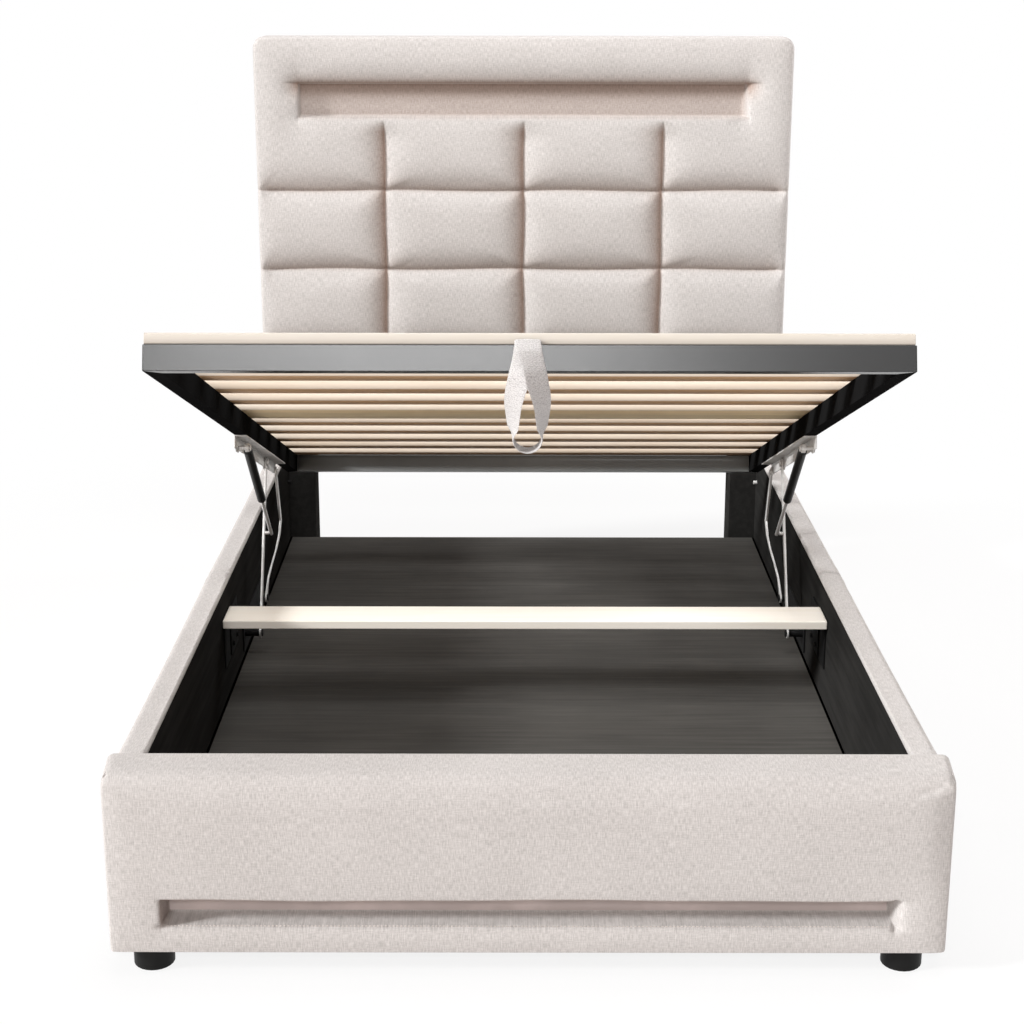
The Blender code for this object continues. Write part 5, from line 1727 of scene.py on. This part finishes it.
@dataclass
class Platform:
    """Welded tube frame with its slats."""

    tube_edge: float = 0.0032
    slat_edge: float = 0.0012
    slats: int = 11
    wide: str = "slat_06"            # place in the row that the wide slat takes

    def build(self, tubes: dict[str, bpy.types.Material], slat: bpy.types.Material,
              board: bpy.types.Material, front_slat_painted_shade: bpy.types.Material) -> None:
        """Dresses the frame and the slats.

        Args:
            tubes: steel of each tube, by side; the rear tube's coat is a lighter copy as painted
                reflection, the side tubes' a darker copy as painted shade.
            slat: material of the narrow slats.
            board: material of the wide slat.
            front_slat_painted_shade: material of the foremost slat, a darker copy of the slat timber as
                painted shade.
        """
        for name, coat in tubes.items():
            dress_rigid(f"platform_tube_{name}", coat, self.tube_edge, 3, 60)
        timbers = {f"slat_{number:02d}": slat for number in range(1, self.slats + 1)}
        timbers["slat_01"] = front_slat_painted_shade
        for name, timber in timbers.items():
            if name == self.wide:
                name, timber = "wide_slat", board
            dress_rigid(name, timber, self.slat_edge, 3, 60)
        log.info("platform dressed")


@dataclass
class LiftMechanism:
    """Arms, angles, plates and gas springs on both sides."""

    edge: float = 0.0005

    def build(self, zinc: bpy.types.Material, plate: bpy.types.Material, paint: bpy.types.Material,
              chrome: bpy.types.Material) -> None:
        """Dresses the mechanism.

        Args:
            zinc: bright plated steel.
            plate: black plated steel of the wall plates.
            paint: black paint of the gas cylinders.
            chrome: polished steel of the gas rods.
        """
        for side, _ in SIDES:
            for name in ("lift_plate", "lift_angle", "front_arm", "rear_arm", "spring_eye"):
                coat = plate if name == "lift_plate" else zinc
                dress_rigid(f"{name}_{side}", coat, self.edge)
            finish_with(bpy.data.objects[f"gas_cylinder_{side}"], paint)
            finish_with(bpy.data.objects[f"gas_rod_{side}"], chrome)
        log.info("lift mechanism dressed")


# ---------------------------------------------------------------- studio
@dataclass
class Studio:
    """Camera, lamps, white floor and white surroundings."""

    eye: tuple[float, float, float] = (-0.0248, -3.70665, 1.5047)
    yaw: float = math.radians(-0.0221)
    pitch: float = math.radians(16.0833)
    roll: float = math.radians(0.0766)
    focal: float = 1880.70           # pixels, for a picture of 1024 by 1024
    image: float = 1024.0
    centre_y: float = 512.544        # row of the lens's axis
    sensor: float = 36.0
    clip: float = 200.0
    floor_half: float = 9.0
    floor_colour: Colour = (0.86, 0.86, 0.86)
    shadow_share: float = 0.15                       # of the real floor that shows near the bed
    shadow_reach: tuple[float, float] = (2.6, 1.2)   # distances at which it ends and is full
    ambient: Colour = (1.0, 0.76, 0.66)
    ambient_strength: float = 0.20

    def camera(self) -> None:
        """Makes the camera that matches the photograph."""
        data = bpy.data.cameras.new("camera")
        data.sensor_width = self.sensor
        data.lens = self.focal / self.image * self.sensor
        data.shift_y = (self.centre_y - self.image / 2) / self.image
        data.clip_end = self.clip
        cam = bpy.data.objects.new("camera", data)
        bpy.context.scene.collection.objects.link(cam)
        level = math.cos(self.pitch)
        forward = Vector((math.sin(self.yaw) * level, math.cos(self.yaw) * level, -math.sin(self.pitch)))
        right = Vector((math.cos(self.yaw), -math.sin(self.yaw), 0))
        up = right.cross(forward)
        across = right * math.cos(self.roll) + up * math.sin(self.roll)
        upward = up * math.cos(self.roll) - right * math.sin(self.roll)
        turn = Matrix((across, upward, -forward)).transposed()
        cam.matrix_world = Matrix.Translation(self.eye) @ turn.to_4x4()
        bpy.context.scene.camera = cam

    def lamp(self, name: str, place: Sequence[float], target: Sequence[float], size: tuple[float, float],
             power: float, colour: Colour = WHITE) -> None:
        """Adds a rectangular soft lamp.

        Args:
            name: name of the lamp.
            place: its position.
            target: the point that it faces.
            size: width and height in metres.
            power: watts.
            colour: light colour.
        """
        data = bpy.data.lights.new(name, "AREA")
        data.shape = "RECTANGLE"
        data.size, data.size_y = size
        data.energy = power
        data.color = colour
        lamp = bpy.data.objects.new(name, data)
        bpy.context.scene.collection.objects.link(lamp)
        way = Vector(target) - Vector(place)
        lamp.rotation_euler = way.to_track_quat("-Z", "Y").to_euler()
        lamp.location = place

    def sun(self, name: str, way: Sequence[float], angle: float, strength: float) -> None:
        """Adds a far lamp whose rays run parallel.

        Args:
            name: name of the lamp.
            way: direction towards the lamp.
            angle: how wide the lamp looks, in radians.
            strength: irradiance.
        """
        data = bpy.data.lights.new(name, "SUN")
        data.angle = angle
        data.energy = strength
        lamp = bpy.data.objects.new(name, data)
        bpy.context.scene.collection.objects.link(lamp)
        lamp.rotation_euler = Vector(way).to_track_quat("Z", "Y").to_euler()

    def lamps(self) -> None:
        """Hangs the lamps."""
        self.sun("key_left", (-2.7, -0.85, 1.2), math.radians(9), 3.7)
        self.lamp("front_fill", (-0.9, -10.9, 6.5), (0, -0.5, 0.5), (3.8, 1.2), 420)
        self.lamp("top_fill", (0.0, -0.35, 3.2), (0, 0.45, 0.6), (2.4, 0.9), 46)
        self.lamp("foot_fill", (0.0, -1.5, 3.4), (0, -1.35, 0.3), (2.0, 0.8), 18)
        self.lamp("low_fill", (-1.8, -5.5, 0.6), (0, 0, 0.6), (3.0, 0.7), 24, (1.0, 0.76, 0.60))
        self.lamp("rear_right", (4.2, 2.2, 2.4), (0.4, 0.2, 0.5), (1.6, 1.6), 120)

    def directly_seen(self, nodes: Nodes) -> Num:
        """Tells rays that show a thing to the camera from those that only light the bed.

        Args:
            nodes: the tree that needs it.

        Returns:
            1 for rays from the camera, off a gloss or through glass, and 0 for the rest.
        """
        rays = nodes.make("ShaderNodeLightPath")
        seen, mirrored, passed = (Num(nodes, rays.outputs[f"Is {kind} Ray"])
                                  for kind in ("Camera", "Glossy", "Transmission"))
        return seen.most(mirrored).most(passed)

    def surroundings(self) -> None:
        """Makes the white floor and the world."""
        g = Graph("studio_floor")
        square = np.array([(-1, -1, 0), (1, -1, 0), (1, 1, 0), (-1, 1, 0)])
        floor = new_object("studio_floor", square * self.floor_half, [(0, 1, 2, 3)])
        g.surface(Base_Color=self.floor_colour, Roughness=0.9, Specular_IOR_Level=0.1)
        glow = g.make("ShaderNodeEmission", None, {"Color": WHITE, "Strength": 1.0})
        x, y, _ = g.split(g.place())
        distance = (x * x + y * y) ** 0.5
        share = self.directly_seen(g) * (1 - self.shadow_share * distance.eased(*self.shadow_reach))
        mixed = g.make("ShaderNodeMixShader", None, {0: share, 1: g.shader.outputs[0], 2: glow.outputs[0]})
        g.join(g.tree.nodes["Material Output"].inputs["Surface"], mixed.outputs[0])
        finish_with(floor, g.material)
        world = bpy.data.worlds.new("white_room")
        bpy.context.scene.world = world
        world.use_nodes = True
        sky = Nodes(world.node_tree)
        ambient = sky.tree.nodes["Background"]
        sky.join(ambient.inputs["Color"], self.ambient)
        sky.join(ambient.inputs["Strength"], self.ambient_strength)
        white = sky.make("ShaderNodeBackground", None, {"Color": WHITE, "Strength": 1.0})
        mix = sky.make("ShaderNodeMixShader", None,
                       {0: self.directly_seen(sky), 1: ambient.outputs[0], 2: white.outputs[0]})
        sky.join(sky.tree.nodes["World Output"].inputs["Surface"], mix.outputs[0])

    def build(self) -> None:
        """Sets up the whole studio."""
        bpy.context.scene.view_settings.view_transform = "Standard"
        self.camera()
        self.lamps()
        self.surroundings()


def main() -> None:
    """Builds the dressed bed in its studio."""
    logging.basicConfig(level=logging.INFO, format="%(message)s")
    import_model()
    Studio().build()
    # both cloths carry painted shade; the tufted one's is stronger and browner
    linen = LinenFinish("linen").material()
    tufted = LinenFinish("tufted_linen", gloom=1.0, painted_shade_tint=(0.56, 0.40, 0.32)).material()
    thread = PlasticFinish("sewing_thread", (0.62, 0.57, 0.54), 0.7, 2600).material()
    webbing = WebbingFinish("webbing").material()
    plank = TimberFinish("plank_timber", (0.985, 0.95, 0.875), (0.95, 0.89, 0.78)).material()
    beam = TimberFinish("beam_timber", (0.70, 0.60, 0.46), (0.55, 0.43, 0.30)).material()
    # painted brown shade on the undersides of the narrow slats
    slat = TimberFinish("slat_timber", painted_under_share=1.0).material()
    # painted tan bounce light on the underside of the wide slat
    board = TimberFinish("wide_slat_timber", under=(0.90, 0.71, 0.43), painted_under_share=0.95).material()
    # foremost slat: a darker copy of the slat timber, painted shade for the extra light on its front face
    front_slat_painted_shade = TimberFinish("front_slat_timber", (0.555, 0.52, 0.47), (0.515, 0.47, 0.40)).material()
    wall = BoardFinish("wall_laminate", stretch=(60, 4, 60)).material()
    # floor panels: painted shade line along their sides, in the corners against the wall linings
    floor = BoardFinish("floor_laminate", (0.066, 0.064, 0.060), (0.100, 0.096, 0.089), 0.60, (4, 90, 60),
                        0.0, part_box("floor_panel_front")[1].x).material()
    tube = PowderCoatFinish("tube_powder_coat").material()
    steel = PowderCoatFinish("bracket_powder_coat", (0.007, 0.007, 0.007), 0.6, 0.06).material()
    black_plate = ZincFinish("black_zinc_plate", (0.012, 0.012, 0.0125), (0.008, 0.008, 0.008), 0.55,
                             metal=0.0, level=0.1).material()
    zinc = ZincFinish("zinc_plate").material()
    chrome = ZincFinish("polished_rod", (0.90, 0.90, 0.90), (0.80, 0.80, 0.80), 0.25, 0.5).material()
    paint = PowderCoatFinish("cylinder_paint", (0.006, 0.006, 0.006), 0.5, 0.3).material()
    # side tubes: darker, glossless copy of the black coat, painted shade on their inner faces
    inner_tube_painted_shade = PowderCoatFinish("inner_tube_powder_coat", (0.009, 0.009, 0.0092), 0.5, 0.0).material()
    # rear tube: grey copy of the black coat, a painted reflection of its surroundings
    rear_tube_painted_reflection = PowderCoatFinish("rear_tube_powder_coat", (0.19, 0.205, 0.205), 0.34, 1.0).material()
    plastic = PlasticFinish("foot_plastic", (0.006, 0.006, 0.006), 0.5, level=0.15).material()
    strip = PlasticFinish("smooth_strip", (0.50, 0.44, 0.43), 0.38, 200).material()
    Headboard().build(tufted)
    Footboard().build(linen, thread)
    SideRails().build(linen)
    PullStrap().build(webbing)
    StorageBox().build(plank, wall, floor, steel, plastic, strip, black_plate, zinc, beam)
    Platform().build({"front": tube, "rear": rear_tube_painted_reflection, "left": inner_tube_painted_shade, "right": inner_tube_painted_shade},
                     slat, board, front_slat_painted_shade)
    LiftMechanism().build(zinc, black_plate, paint, chrome)


if __name__ == "__main__":
    main()
